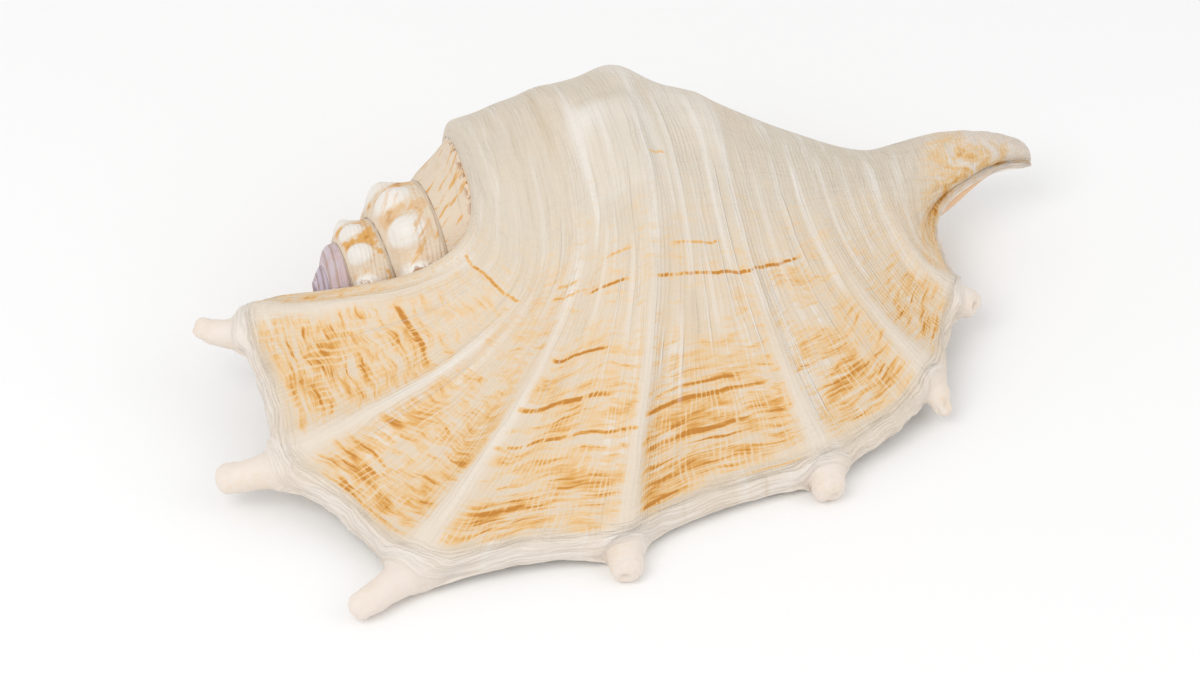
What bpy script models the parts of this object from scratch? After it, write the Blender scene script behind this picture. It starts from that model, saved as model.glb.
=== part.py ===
"""A spider conch shell, lying on its aperture, as one closed solid.

The shell is drawn as a control cage and then rounded. The cage is made of rings. Each ring follows
one spiral line of the shell: from the lip's edge up over the flared wing, round the body whorl,
across the belly to the columella, into the cavity, and back out under the wing. The rings stand side
by side in lanes. Lane 0 is the suture, lanes 1 to 7 end in the seven digits, lane 8 is the notch, and
lane 9 ends at the tip of the siphonal canal. The spire is wound separately and joined on.

The tables are in millimetres. X runs along the coiling axis from the spire to the canal, the flared
wing points to -Y, and the shell lies just above z = 0.
"""

import math

import bmesh
import bpy
import numpy as np

MM = 0.001
SHELL_COLOUR = (0.84, 0.74, 0.60, 1.0)
SHELL_ROUGHNESS = 0.45

# The middle of the shell's outline on the ground, in the frame of the tables below.
OUTLINE_MIDDLE = (20.6, 12.0)
# The shell sits this much lower than its tables, and is worn flat where it would sink in.
WORN_BY = 1.5

# Body whorl at each lane: station along the coiling axis, y and z of the axis, radius, depth of the
# belly below the axis, and the angle where the wing leaves the whorl. Angles are in degrees, from 0
# on the far side over 90 at the top.
BODY_LANES = (0, 1, 2, 3, 4, 5, 6, 7, 8, 8.25, 8.5, 8.75, 9)
BODY_X = (-32, -28, -15, 0, 22, 50, 80, 110, 133, 142, 151, 162, 171)
BODY_Y = (55, 55, 55, 55, 55, 54, 51, 53, 60, 60, 60.5, 61, 60.5)
BODY_Z = (36, 36, 36, 36, 36, 35, 30, 25, 26.5, 29, 31.5, 32, 28)
BODY_RADIUS = (38, 42, 46, 49, 50, 41, 29.5, 18.8, 15, 13.2, 9.2, 5.6, 4.2)
BODY_BELLY = (36, 36.5, 37, 37, 37, 36, 30, 21, 15, 12, 7.8, 5.2, 4)
WING_LEAVES = (118, 132, 146, 140, 132, 134, 130, 124, 150, 160, 165, 165, 165)

# Outline of the lip, at the middle of its thickness: lane, x, y, z.
LIP = (
    (0.0, -95, 44, 33),
    (0.5, -102, 44, 32),
    (0.8, -109, 42, 31),
    (1.0, -111, 36, 31),
    (1.2, -111, 28, 30),
    (1.4, -110, 17, 27),
    (1.6, -109, 6, 24),
    (1.8, -109, -6, 20),
    (2.0, -109, -16, 17),
    (2.2, -104, -23, 14),
    (2.4, -96, -32, 12),
    (2.6, -91, -42, 10),
    (2.8, -84, -54, 9),
    (3.0, -78, -63, 8),
    (3.2, -67, -66.5, 8),
    (3.4, -52, -66, 8),
    (3.6, -35, -66.5, 8),
    (3.8, -18, -69.5, 7),
    (4.0, -11, -72, 7),
    (4.2, -3, -66, 7),
    (4.4, 16, -60, 7),
    (4.6, 36, -57, 7),
    (4.8, 52, -55.5, 7),
    (5.0, 59, -55, 8),
    (5.2, 69, -51, 9),
    (5.4, 82, -46.5, 10),
    (5.6, 91, -42, 11),
    (5.8, 98, -36, 12),
    (6.0, 103, -30, 13),
    (6.2, 111, -23, 14),
    (6.4, 115, -15, 15),
    (6.6, 119, -8, 16),
    (6.8, 122, -2, 17),
    (7.0, 125, 4, 18),
    (7.2, 127, 10, 19),
    (7.5, 127, 20, 20),
    (8.0, 128, 35, 22),
    (8.25, 135, 46, 24),
    (8.5, 147, 52, 27),
    (8.75, 160, 54.5, 29),
    (9.0, 171.5, 56, 25.5),
)
LIP_THICKNESS_LANES = (0, 1, 2, 3, 6, 7, 8, 8.5, 9)
LIP_THICKNESS = (8, 9, 9, 11, 11, 10, 8, 5, 3)
# Shares of that thickness: how far the upper and lower corners of the lip stand back from its edge,
# and how much of it the shell keeps just behind the lip.
LIP_TOP_BACK = 0.2
LIP_UNDER_BACK = 0.3
BEHIND_LIP = 0.8

# How the wing runs at each lane: its heading at the lip in degrees (0 is +X, 90 is +Y), its slope
# there, and how strongly each end's direction holds the curve between them.
HEADING_LANES = (0, 1, 2, 3, 4, 5, 6, 7, 8, 9)
HEADING = (178, 180, 185, 212, 254, 285, 312, 350, 335, 290)
LIP_SLOPE = (0, -5, -15, -25, -35, -35, -30, -20, -10, 0)
START_PULL = (90, 80, 85, 80, 95, 110, 75, 40, 18, 3)
END_PULL = (45, 60, 80, 75, 60, 50, 45, 40, 20, 3)

# The digits: lane, x, y, z of the tip, radius near the base and at the tip.
DIGITS = (
    (1, -123, 42, 30.5, 5.8, 4.1),
    (2, -125.5, -11, 12.5, 6.0, 5.4),
    (3, -95.5, -70, 6.4, 6.6, 4.5),
    (4, -11, -76.5, 6.0, 6.8, 5.4),
    (5, 58, -60, 6.2, 7.0, 5.6),
    (6, 105.5, -36, 7.5, 6.6, 3.2),
    (7, 129.5, 4, 15, 6.6, 4.9),
)
DIGIT_HALF_LANE = 0.2
DIGIT_SIDES = 8
DIGIT_STEPS = (0.3, 0.6, 0.85, 1.0)
DIGIT_CROWN = 0.6

# The cavity: how far it reaches round the whorl at each body lane, from 0 (none) to 1 (to the far
# angle), how wide it is, and the wall over it.
CAVITY_DEPTH = (0.08, 0.12, 0.55, 1.0, 1.0, 0.95, 0.75, 0.5, 0.3, 0.25, 0.2, 0.15, 0.1)
CAVITY_FAR_ANGLE = 25
CAVITY_GAP = 15
SHALLOW_GAP = 0.25
WALL = 5
SMALL_WHORL_SHARE = 0.35

# Rows of a ring. On the wing: shares of the way from the body whorl to the lip. On the body whorl:
# shares of the way from the wing to the belly. On the columella: shares of the radius in y and of
# the belly in z. In the cavity: shares of its reach along the floor and back along the roof.
WING_STEPS = (0.9, 0.75, 0.58, 0.4, 0.2)
BODY_STEPS = (0.14, 0.3, 0.46, 0.62, 0.8, 1.0)
BELLY_ANGLE = -75
BELLY_ROWS = ((-0.45, -1.0), (-0.76, -0.82))
COLUMELLA_ROWS = ((-0.84, -0.45), (-0.74, 0.0))
FLOOR_STEPS = (0.35, 0.7)
ROOF_STEPS = (0.7, 0.35, 0.0)
LAST_OUTER_ROW = 14

# Rings: where they stand between the digits, and along the notch and the canal.
LAST_LANE = 9.0
FIRST_LANES = (0.0, 0.45)
WEB_LANES = (0.4, 0.6)
CANAL_LANES = (7.5, 8.0, 8.25, 8.5, 8.75, 9.0)
# How far apart the points are that a surface's direction is read from, in lanes and in shares.
NEAR_LANE = 0.15
NEAR_STEP = 0.04

# Along the canal the cavity narrows to a slit: how far in each inner row lies, and on which side.
SLIT_LANES = (0, 7, 7.5, 8, 8.5, 9)
SLIT_SHARE = (0, 0, 0, 0.35, 1, 1)
SLIT_HALF_WIDTH = 0.5
SLIT_REACH = 0.85
SLIT_ROWS = (
    (0.2, -1),
    (0.45, -1),
    (0.65, -1),
    (0.85, -1),
    (1.0, 0),
    (0.9, 1),
    (0.78, 1),
    (0.66, 1),
    (0.54, 1),
    (0.42, 1),
    (0.3, 1),
    (0.2, 1),
    (0.1, 1),
)

# Ribs, webs and knobs, raised on the rounded surface. Rows count the points of a ring: 1 is the
# lip's upper corner, 2 to 6 are the wing, 7 is where it leaves the body, 8 to 13 go round the body.
RIB_HEIGHT = 3.4
RIB_HALF_LANE = 0.12
RIB_ROWS = (0.0, 0.8, 2.0, 5.0, 7.0, 9.0)
RIB_SHARE = (0.0, 0.8, 1.0, 0.7, 0.25, 0.0)
WEB_SAG = 1.0
# Knobs: lane, row, height, half width in lanes and in rows, and how square they are (2 is round).
KNOBS = (
    (4.2, 9.7, 4.4, 0.34, 0.75, 2),
    (3.9, 8.3, 2.4, 0.42, 0.95, 4),
    (5.0, 8.7, 1.8, 0.22, 0.8, 2),
    (4.9, 7.9, 1.6, 0.2, 0.7, 2),
    (3.0, 9.2, 1.2, 0.3, 0.8, 2),
    (2.0, 9.2, 0.8, 0.4, 0.8, 2),
    (0.8, 9.4, 1.6, 0.5, 0.8, 2),
)

# The spire. Sutures are counted from the apex; each has a station and a radius at SUTURE_ANGLE.
SPIRE_STATIONS = (-84, -43, -20)
SPIRE_Y = (51, 55, 55)
SPIRE_Z = (32, 36, 36)
SUTURE_ANGLE = 48
SUTURES = (0, 1, 2, 3, 4, 5, 6)
SUTURE_STATION = (-84, -80.5, -75, -63.5, -46, -31, -21)
SUTURE_RADIUS = (0.5, 5.5, 11.5, 16, 23.3, 36, 39)
SPIRE_END = 5.4
# The strip runs on for this many turns, pinched to the axis, so that it closes.
CLOSING_TURNS = 1.2
STEEP_SUTURES = (3.2, 4.1)
SHOULDERS = ((0.5, 2.0), (1.3, 6.0))
KNOBS_PER_WHORL = 10
KNOBS_START = (1, 2)
KNOB_SHARE = 0.13
# A knob is highest nearer to the suture before it, and the last whorl rises ever more steeply.
KNOB_SKEW = 0.62
RAMP_POWER = 1.35
SPIRE_SIDES = 40
ROWS_PER_WHORL = 5
SPIRE_LOWEST = 1.0

SMOOTH_LEVELS = 2
SHELL_KEPT_SHARE = 0.178
SPIRE_KEPT_SHARE = 0.6
BELOW_ALL = -100.0
SAME_PLACE = 0.01


def through(knots, values, at):
    """Reads a smooth curve through the values at the knots, at one place."""
    knots = np.asarray(knots, float)
    values = np.asarray(values, float)
    slopes = np.gradient(values, knots, axis=0)
    i = int(np.clip(np.searchsorted(knots, at) - 1, 0, len(knots) - 2))
    span = knots[i + 1] - knots[i]
    t = (at - knots[i]) / span
    return hermite(values[i], slopes[i] * span, values[i + 1], slopes[i + 1] * span, t)


def hermite(start, start_slope, end, end_slope, t):
    """A cubic from start to end with the given slopes at its ends."""
    return (
        start * (1 + 2 * t) * (1 - t) ** 2
        + start_slope * t * (1 - t) ** 2
        + end * t * t * (3 - 2 * t)
        - end_slope * t * t * (1 - t)
    )


def body(values, lane):
    return through(BODY_LANES, values, lane)


def lip_edge(lane):
    table = np.array(LIP, float)
    return through(table[:, 0], table[:, 1:], lane)


def lip_heading(lane):
    angle = math.radians(through(HEADING_LANES, HEADING, lane))
    return np.array([math.cos(angle), math.sin(angle), 0.0])


def lip_thickness(lane):
    return through(LIP_THICKNESS_LANES, LIP_THICKNESS, lane)


def body_point(lane, angle, inward=0.0):
    """A point of the body whorl at a lane and an angle, some way inside its surface."""
    a = math.radians(angle)
    radius = body(BODY_RADIUS, lane) - inward
    belly = body(BODY_BELLY, lane) - inward
    height = radius if math.sin(a) > 0 else belly
    return np.array(
        [
            body(BODY_X, lane),
            body(BODY_Y, lane) + radius * math.cos(a),
            body(BODY_Z, lane) + height * math.sin(a),
        ]
    )


def columella_point(lane, across, down):
    """A point beside the aperture, in shares of the whorl's radius and of its belly."""
    return np.array(
        [
            body(BODY_X, lane),
            body(BODY_Y, lane) + across * body(BODY_RADIUS, lane),
            body(BODY_Z, lane) + down * body(BODY_BELLY, lane),
        ]
    )


def wing_top(lane, t):
    """A point of the wing's upper face: t is 0 where it leaves the body whorl and 1 at the lip."""
    leaves = body(WING_LEAVES, lane)
    a = math.radians(leaves)
    along_start = np.array([0.0, -math.sin(a), math.cos(a)])
    thickness = lip_thickness(lane)
    out = lip_heading(lane)
    end = lip_edge(lane) - out * LIP_TOP_BACK * thickness + np.array([0, 0, thickness / 2])
    slope = math.radians(through(HEADING_LANES, LIP_SLOPE, lane))
    along_end = out * math.cos(slope) + np.array([0, 0, math.sin(slope)])
    start_pull = through(HEADING_LANES, START_PULL, lane)
    end_pull = through(HEADING_LANES, END_PULL, lane)
    start = body_point(lane, leaves)
    return hermite(start, along_start * start_pull, end, along_end * end_pull, t)


def wing_normal(lane, t):
    """The outward normal of the wing's upper face."""
    across = wing_top(min(LAST_LANE, lane + NEAR_LANE), t) - wing_top(max(0.0, lane - NEAR_LANE), t)
    along = wing_top(lane, min(1.0, t + NEAR_STEP)) - wing_top(lane, max(0.0, t - NEAR_STEP))
    normal = np.cross(along, across)
    return normal / np.linalg.norm(normal)


def cavity(lane, mouth):
    """The inner points of a ring, from the columella into the cavity and out under the wing."""
    leaves = body(WING_LEAVES, lane)
    depth = body(CAVITY_DEPTH, lane)
    radius = body(BODY_RADIUS, lane)
    wall = min(WALL, radius * SMALL_WHORL_SHARE)
    gap = CAVITY_GAP * (SHALLOW_GAP + (1 - SHALLOW_GAP) * depth)
    gap = min(gap, radius * SMALL_WHORL_SHARE)
    reach = (CAVITY_FAR_ANGLE - leaves) * depth

    points = [columella_point(lane, across, down) for across, down in COLUMELLA_ROWS]
    points += [body_point(lane, leaves + reach * step, wall + gap) for step in FLOOR_STEPS]
    points.append(body_point(lane, leaves + reach, wall + gap / 2))
    points += [body_point(lane, leaves + reach * step, wall) for step in ROOF_STEPS]
    behind_lip = lip_thickness(lane) * BEHIND_LIP
    for t in reversed(WING_STEPS):
        here = wall + (behind_lip - wall) * t
        points.append(wing_top(lane, t) - wing_normal(lane, t) * here)

    slit_share = through(SLIT_LANES, SLIT_SHARE, lane)
    inwards = (columella_point(lane, 0, 0) - mouth) * SLIT_REACH
    sideways = np.array([0.0, -inwards[2], inwards[1]])
    sideways *= SLIT_HALF_WIDTH / np.linalg.norm(sideways)
    for k, (share, side) in enumerate(SLIT_ROWS):
        slit = mouth + inwards * share + sideways * side
        points[k] = points[k] * (1 - slit_share) + slit * slit_share
    return points


def ring(lane):
    """The control points of one spiral line, all the way round the section of the shell."""
    edge = lip_edge(lane)
    thickness = lip_thickness(lane)
    leaves = body(WING_LEAVES, lane)
    points = [edge, wing_top(lane, 1.0)]
    points += [wing_top(lane, t) for t in WING_STEPS]
    points.append(body_point(lane, leaves))
    points += [body_point(lane, leaves + (BELLY_ANGLE - leaves) * step) for step in BODY_STEPS]
    points += [columella_point(lane, across, down) for across, down in BELLY_ROWS]
    points += cavity(lane, (points[-1] + edge) / 2)
    back = lip_heading(lane) * LIP_UNDER_BACK * thickness
    points.append(edge - back - np.array([0, 0, thickness / 2]))
    return points


def lane_places():
    """Where the rings stand: three to a digit, two to a web, and six along the notch and canal."""
    found = list(FIRST_LANES)
    for digit in range(1, len(DIGITS) + 1):
        found += [digit - DIGIT_HALF_LANE, digit, digit + DIGIT_HALF_LANE]
        if digit < len(DIGITS):
            found += [digit + share for share in WEB_LANES]
    return found + list(CANAL_LANES)


def relief(lane, row):
    """How far the ribs and knobs stand out from the smooth surface, and the webs lie below it."""
    nearest = np.clip(np.round(lane), 1, len(DIGITS))
    rib = np.exp(-(((lane - nearest) / RIB_HALF_LANE) ** 2))
    web = np.sin(np.pi * np.clip(lane, 1, len(DIGITS))) ** 2
    on_wing = np.interp(row, RIB_ROWS, RIB_SHARE, left=0, right=0)
    height = (RIB_HEIGHT * rib - WEB_SAG * web) * on_wing
    for knob_lane, knob_row, rise, half_lane, half_row, squareness in KNOBS:
        across = np.abs(lane - knob_lane) / half_lane
        along = np.abs(row - knob_row) / half_row
        height = height + rise * np.exp(-(across**squareness) - along**squareness)
    return height


def add_digit(bm, rim, digit):
    """Draws a digit out of a rim of cage points at the lip, towards its tip."""
    lane, *tip = digit[:4]
    base_radius, tip_radius = digit[4:]
    tip = np.array(tip, float)
    base = np.mean([np.array(v.co) for v in rim], axis=0)
    bend = base + lip_heading(lane) * np.linalg.norm(tip - base) / 2
    last = rim
    for s in DIGIT_STEPS:
        centre = base * (1 - s) ** 2 + bend * 2 * s * (1 - s) + tip * s * s
        along = (bend - base) * (1 - s) + (tip - bend) * s
        along /= np.linalg.norm(along)
        side = np.cross(along, [0, 0, 1])
        side /= np.linalg.norm(side)
        up = np.cross(side, along)
        radius = base_radius + (tip_radius - base_radius) * s
        fresh = []
        for k in range(DIGIT_SIDES):
            angle = 2 * math.pi * (k + 1) / DIGIT_SIDES
            spread = side * math.cos(angle) + up * math.sin(angle)
            vert = bm.verts.new(centre + spread * radius)
            vert[bm.verts.layers.float["lane"]] = lane
            fresh.append(vert)
        for k in range(DIGIT_SIDES):
            n = (k + 1) % DIGIT_SIDES
            bm.faces.new((last[k], last[n], fresh[n], fresh[k]))
        last = fresh
    crown = bm.verts.new(tip + along * tip_radius * DIGIT_CROWN)
    crown[bm.verts.layers.float["lane"]] = lane
    for k in range(DIGIT_SIDES):
        bm.faces.new((last[k], last[(k + 1) % DIGIT_SIDES], crown))


def shell_cage():
    """The control cage of the wing, the body whorl, the cavity, the canal and the digits.

    Each point carries its lane, its row and whether it is outside. The rows are counted from the
    lip's edge on both faces, so that they run on smoothly where the two meet.
    """
    bm = bmesh.new()
    lane_of = bm.verts.layers.float.new("lane")
    row_of = bm.verts.layers.float.new("row")
    outer_of = bm.verts.layers.float.new("outer")
    lanes = lane_places()
    digit_columns = [lanes.index(digit[0]) for digit in DIGITS]
    grid = []
    for column, lane in enumerate(lanes):
        points = ring(lane)
        rows = len(points)
        line = []
        for row, point in enumerate(points):
            if row == 0 and column in digit_columns:
                line.append(None)
                continue
            vert = bm.verts.new(point)
            vert[lane_of] = lane
            inner_share = (rows - row) / (rows - LAST_OUTER_ROW - 1)
            vert[row_of] = row if row <= LAST_OUTER_ROW else inner_share * LAST_OUTER_ROW
            vert[outer_of] = row <= LAST_OUTER_ROW
            line.append(vert)
        grid.append(line)

    for here, beside in zip(grid, grid[1:]):
        for row in range(rows):
            n = (row + 1) % rows
            corners = (here[row], beside[row], beside[n], here[n])
            if None not in corners:
                bm.faces.new(corners)
    for end in (grid[0], grid[-1]):
        for i in range(rows // 2):
            corners = (end[i], end[i + 1], end[(rows - i - 1) % rows], end[(rows - i) % rows])
            bm.faces.new(dict.fromkeys(corners))
    for digit, column in zip(DIGITS, digit_columns):
        left, middle, right = grid[column - 1 : column + 2]
        rim = [left[1], middle[1], right[1], right[0], right[-1], middle[-1], left[-1], left[0]]
        add_digit(bm, rim, digit)
    return bm


def spire_axis(suture):
    """The middle of the spire at a suture, counted from the apex."""
    x = through(SUTURES, SUTURE_STATION, min(max(suture, 0.0), SUTURES[-1]))
    return (x, np.interp(x, SPIRE_STATIONS, SPIRE_Y), np.interp(x, SPIRE_STATIONS, SPIRE_Z))


def spire_point(suture, angle):
    """A point of the spire, stepped in at each suture, with knobs on the middle of the whorls."""
    turn = (angle - SUTURE_ANGLE) / 360
    before = math.floor(suture - turn + SAME_PLACE / 100) + turn
    place = max(0.0, suture - before)
    low = through(SUTURES, SUTURE_RADIUS, max(0.0, before))
    high = through(SUTURES, SUTURE_RADIUS, min(SUTURES[-1], max(0.0, before + 1)))
    ramp = float(np.interp(before, STEEP_SUTURES, (0, 1)))
    steepness = float(np.interp(before, *SHOULDERS))
    rise = (1 - (1 - place) ** steepness) * (1 - ramp) + place**RAMP_POWER * ramp
    knob = 0.5 + 0.5 * math.cos(2 * math.pi * KNOBS_PER_WHORL * before)
    knob *= math.sin(math.pi * place**KNOB_SKEW) ** 2 * (1 - ramp)
    knob *= float(np.interp(before, KNOBS_START, (0, 1)))
    radius = (low + (high - low) * rise) * (1 + KNOB_SHARE * knob)
    a = math.radians(angle)
    x, y, z = spire_axis(suture)
    return (x, y + radius * math.cos(a), z + radius * math.sin(a))


def spire_mesh():
    """The spire as a strip wound along its sutures, pinched shut at the apex and inside the body."""
    bm = bmesh.new()
    strip = []
    for row in range(-ROWS_PER_WHORL, int((SPIRE_END + CLOSING_TURNS) * ROWS_PER_WHORL)):
        line = []
        for side in range(SPIRE_SIDES):
            share = side / SPIRE_SIDES
            suture = row / ROWS_PER_WHORL + share
            if 0 < suture < SPIRE_END:
                place = spire_point(suture, SUTURE_ANGLE + 360 * share)
            else:
                place = spire_axis(min(suture, SPIRE_END))
            line.append(bm.verts.new(place))
        strip.append(line)
    for here, beside in zip(strip, strip[1:]):
        for k in range(SPIRE_SIDES - 1):
            bm.faces.new((here[k], here[k + 1], beside[k + 1], beside[k]))
    wound_on = strip[ROWS_PER_WHORL:]
    for here, beside, start, start_beside in zip(strip, strip[1:], wound_on, wound_on[1:]):
        bm.faces.new((start[0], start_beside[0], beside[-1], here[-1]))
    return bm


def to_object(bm, name, lowest):
    """Turns a mesh in table millimetres into an object in metres over the outline's middle."""
    bmesh.ops.remove_doubles(bm, verts=bm.verts, dist=SAME_PLACE)
    bmesh.ops.recalc_face_normals(bm, faces=bm.faces)
    for v in bm.verts:
        v.co.x = (v.co.x - OUTLINE_MIDDLE[0]) * MM
        v.co.y = (v.co.y - OUTLINE_MIDDLE[1]) * MM
        v.co.z = max(v.co.z - WORN_BY, lowest) * MM
    mesh = bpy.data.meshes.new(name)
    bm.to_mesh(mesh)
    bm.free()
    obj = bpy.data.objects.new(name, mesh)
    bpy.context.scene.collection.objects.link(obj)
    return obj


def round_and_raise(obj):
    """Rounds the cage, raises the ribs and knobs on it, and flattens what would sink below z = 0."""
    smooth = obj.modifiers.new("smooth", "SUBSURF")
    smooth.levels = smooth.render_levels = SMOOTH_LEVELS
    rounded = obj.evaluated_get(bpy.context.evaluated_depsgraph_get())
    mesh = bpy.data.meshes.new_from_object(rounded)
    obj.modifiers.clear()
    obj.data = mesh
    count = len(mesh.vertices)
    places = np.empty((count, 3), dtype=np.float32)
    normals = np.empty((count, 3), dtype=np.float32)
    lane = np.empty(count, dtype=np.float32)
    row = np.empty(count, dtype=np.float32)
    outer = np.empty(count, dtype=np.float32)
    mesh.vertices.foreach_get("co", places.ravel())
    mesh.vertex_normals.foreach_get("vector", normals.ravel())
    mesh.attributes["lane"].data.foreach_get("value", lane)
    mesh.attributes["row"].data.foreach_get("value", row)
    mesh.attributes["outer"].data.foreach_get("value", outer)
    places += normals * (relief(lane, row) * outer)[:, None] * MM
    places[:, 2] = np.maximum(places[:, 2], 0.0)
    mesh.vertices.foreach_set("co", places.ravel())
    mesh.update()


def thin_out(obj, kept_share):
    thin = obj.modifiers.new("thin out", "DECIMATE")
    thin.ratio = kept_share


def shell_material():
    material = bpy.data.materials.new("shell")
    material.use_nodes = True
    principled = material.node_tree.nodes["Principled BSDF"]
    principled.inputs["Base Color"].default_value = SHELL_COLOUR
    principled.inputs["Roughness"].default_value = SHELL_ROUGHNESS
    principled.inputs["Metallic"].default_value = 0.0
    return material


def main():
    for obj in list(bpy.data.objects):
        bpy.data.objects.remove(obj)
    spire = to_object(spire_mesh(), "spire", SPIRE_LOWEST)
    spire.hide_render = True
    spire.display_type = "WIRE"
    thin_out(spire, SPIRE_KEPT_SHARE)
    shell = to_object(shell_cage(), "shell", BELOW_ALL)
    round_and_raise(shell)
    thin_out(shell, SHELL_KEPT_SHARE)
    join = shell.modifiers.new("spire", "BOOLEAN")
    join.operation = "UNION"
    join.solver = "EXACT"
    join.object = spire
    shell.data.materials.clear()
    shell.data.materials.append(shell_material())
    shell.data.shade_smooth()


main()
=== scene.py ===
"""The looks of a spider conch shell that lies on its aperture.

The shell is drawn from the same spiral lines as its solid: each line is a ring that runs from the
lip's edge up over the flared wing, round the body whorl, across the belly to the columella, into the
cavity and back out under the wing. Lane 0 is the suture, lanes 1 to 7 end in the seven digits, lane 8
is the notch and lane 9 ends at the tip of the siphonal canal. The spire is wound separately.

The tables are in millimetres. X runs along the coiling axis from the spire to the canal, the flared
wing points to -Y, and the shell lies just above z = 0.
"""

import math

import bmesh
import bpy
import numpy as np
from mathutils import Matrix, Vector
from mathutils.kdtree import KDTree


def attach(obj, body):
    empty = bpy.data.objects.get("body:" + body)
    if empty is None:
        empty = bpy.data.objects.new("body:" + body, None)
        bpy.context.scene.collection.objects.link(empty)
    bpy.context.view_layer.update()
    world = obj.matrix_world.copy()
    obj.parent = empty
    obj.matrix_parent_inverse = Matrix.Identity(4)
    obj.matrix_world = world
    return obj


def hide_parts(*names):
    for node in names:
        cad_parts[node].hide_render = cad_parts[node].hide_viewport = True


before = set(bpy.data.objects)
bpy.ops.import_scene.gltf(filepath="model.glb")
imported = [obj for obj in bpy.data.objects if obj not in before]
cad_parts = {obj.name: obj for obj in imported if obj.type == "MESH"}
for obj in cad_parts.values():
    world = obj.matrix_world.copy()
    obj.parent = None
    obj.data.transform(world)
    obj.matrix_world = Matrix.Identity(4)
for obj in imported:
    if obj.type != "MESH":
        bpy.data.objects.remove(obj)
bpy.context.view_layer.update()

bl_info = {
    "name": "Spider Conch",
    "version": (1, 0, 0),
    "blender": (4, 5, 0),
    "location": "3D View > Sidebar > Conch",
    "description": "Builds a spider conch shell and a plain studio round it",
    "category": "Object",
}

MM = 0.001

# The middle of the shell's outline on the ground, in the frame of the tables below.
OUTLINE_MIDDLE = (20.6, 12.0)
# The shell sits this much lower than its tables, and is worn flat where it would sink in.
WORN_BY = 1.5

# Body whorl at each lane: station along the coiling axis, y and z of the axis, radius, depth of the
# belly below the axis, and the angle where the wing leaves the whorl. Angles are in degrees, from 0
# on the far side over 90 at the top.
BODY_LANES = (0, 1, 2, 3, 4, 5, 6, 7, 8, 8.25, 8.5, 8.75, 9)
BODY_X = (-32, -28, -15, 0, 22, 50, 80, 110, 133, 142, 151, 162, 171)
BODY_Y = (55, 55, 55, 55, 55, 54, 51, 53, 60, 60, 60.5, 61, 60.5)
BODY_Z = (36, 36, 36, 36, 36, 35, 30, 25, 26.5, 29, 31.5, 32, 28)
BODY_RADIUS = (38, 42, 46, 49, 50, 41, 29.5, 18.8, 15, 13.2, 9.2, 5.6, 4.2)
BODY_BELLY = (36, 36.5, 37, 37, 37, 36, 30, 21, 15, 12, 7.8, 5.2, 4)
WING_LEAVES = (118, 132, 146, 140, 132, 134, 130, 124, 150, 160, 165, 165, 165)

# Outline of the lip, at the middle of its thickness: lane, x, y, z.
LIP = (
    (0.0, -95, 44, 33),
    (0.5, -102, 44, 32),
    (0.8, -109, 42, 31),
    (1.0, -111, 36, 31),
    (1.2, -111, 28, 30),
    (1.4, -110, 17, 27),
    (1.6, -109, 6, 24),
    (1.8, -109, -6, 20),
    (2.0, -109, -16, 17),
    (2.2, -104, -23, 14),
    (2.4, -96, -32, 12),
    (2.6, -91, -42, 10),
    (2.8, -84, -54, 9),
    (3.0, -78, -63, 8),
    (3.2, -67, -66.5, 8),
    (3.4, -52, -66, 8),
    (3.6, -35, -66.5, 8),
    (3.8, -18, -69.5, 7),
    (4.0, -11, -72, 7),
    (4.2, -3, -66, 7),
    (4.4, 16, -60, 7),
    (4.6, 36, -57, 7),
    (4.8, 52, -55.5, 7),
    (5.0, 59, -55, 8),
    (5.2, 69, -51, 9),
    (5.4, 82, -46.5, 10),
    (5.6, 91, -42, 11),
    (5.8, 98, -36, 12),
    (6.0, 103, -30, 13),
    (6.2, 111, -23, 14),
    (6.4, 115, -15, 15),
    (6.6, 119, -8, 16),
    (6.8, 122, -2, 17),
    (7.0, 125, 4, 18),
    (7.2, 127, 10, 19),
    (7.5, 127, 20, 20),
    (8.0, 128, 35, 22),
    (8.25, 135, 46, 24),
    (8.5, 147, 52, 27),
    (8.75, 160, 54.5, 29),
    (9.0, 171.5, 56, 25.5),
)
LIP_THICKNESS_LANES = (0, 1, 2, 3, 6, 7, 8, 8.5, 9)
LIP_THICKNESS = (8, 9, 9, 11, 11, 10, 8, 5, 3)
# Shares of that thickness: how far the upper and lower corners of the lip stand back from its edge,
# and how much of it the shell keeps just behind the lip.
LIP_TOP_BACK = 0.2
LIP_UNDER_BACK = 0.3
BEHIND_LIP = 0.8

# How the wing runs at each lane: its heading at the lip in degrees (0 is +X, 90 is +Y), its slope
# there, and how strongly each end's direction holds the curve between them.
HEADING_LANES = (0, 1, 2, 3, 4, 5, 6, 7, 8, 9)
HEADING = (178, 180, 185, 212, 254, 285, 312, 350, 335, 290)
LIP_SLOPE = (0, -5, -15, -25, -35, -35, -30, -20, -10, 0)
START_PULL = (90, 80, 85, 80, 95, 110, 75, 40, 18, 3)
END_PULL = (45, 60, 80, 75, 60, 50, 45, 40, 20, 3)

# The digits: lane, x, y, z of the tip, radius near the base and at the tip.
DIGITS = (
    (1, -123, 42, 30.5, 5.8, 4.1),
    (2, -125.5, -11, 12.5, 6.0, 5.4),
    (3, -95.5, -70, 6.4, 6.6, 4.5),
    (4, -11, -76.5, 6.0, 6.8, 5.4),
    (5, 58, -60, 6.2, 7.0, 5.6),
    (6, 105.5, -36, 7.5, 6.6, 3.2),
    (7, 129.5, 4, 15, 6.6, 4.9),
)
DIGIT_HALF_LANE = 0.2
DIGIT_SIDES = 8
DIGIT_STEPS = (0.3, 0.6, 0.85, 1.0)
DIGIT_CROWN = 0.6

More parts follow.
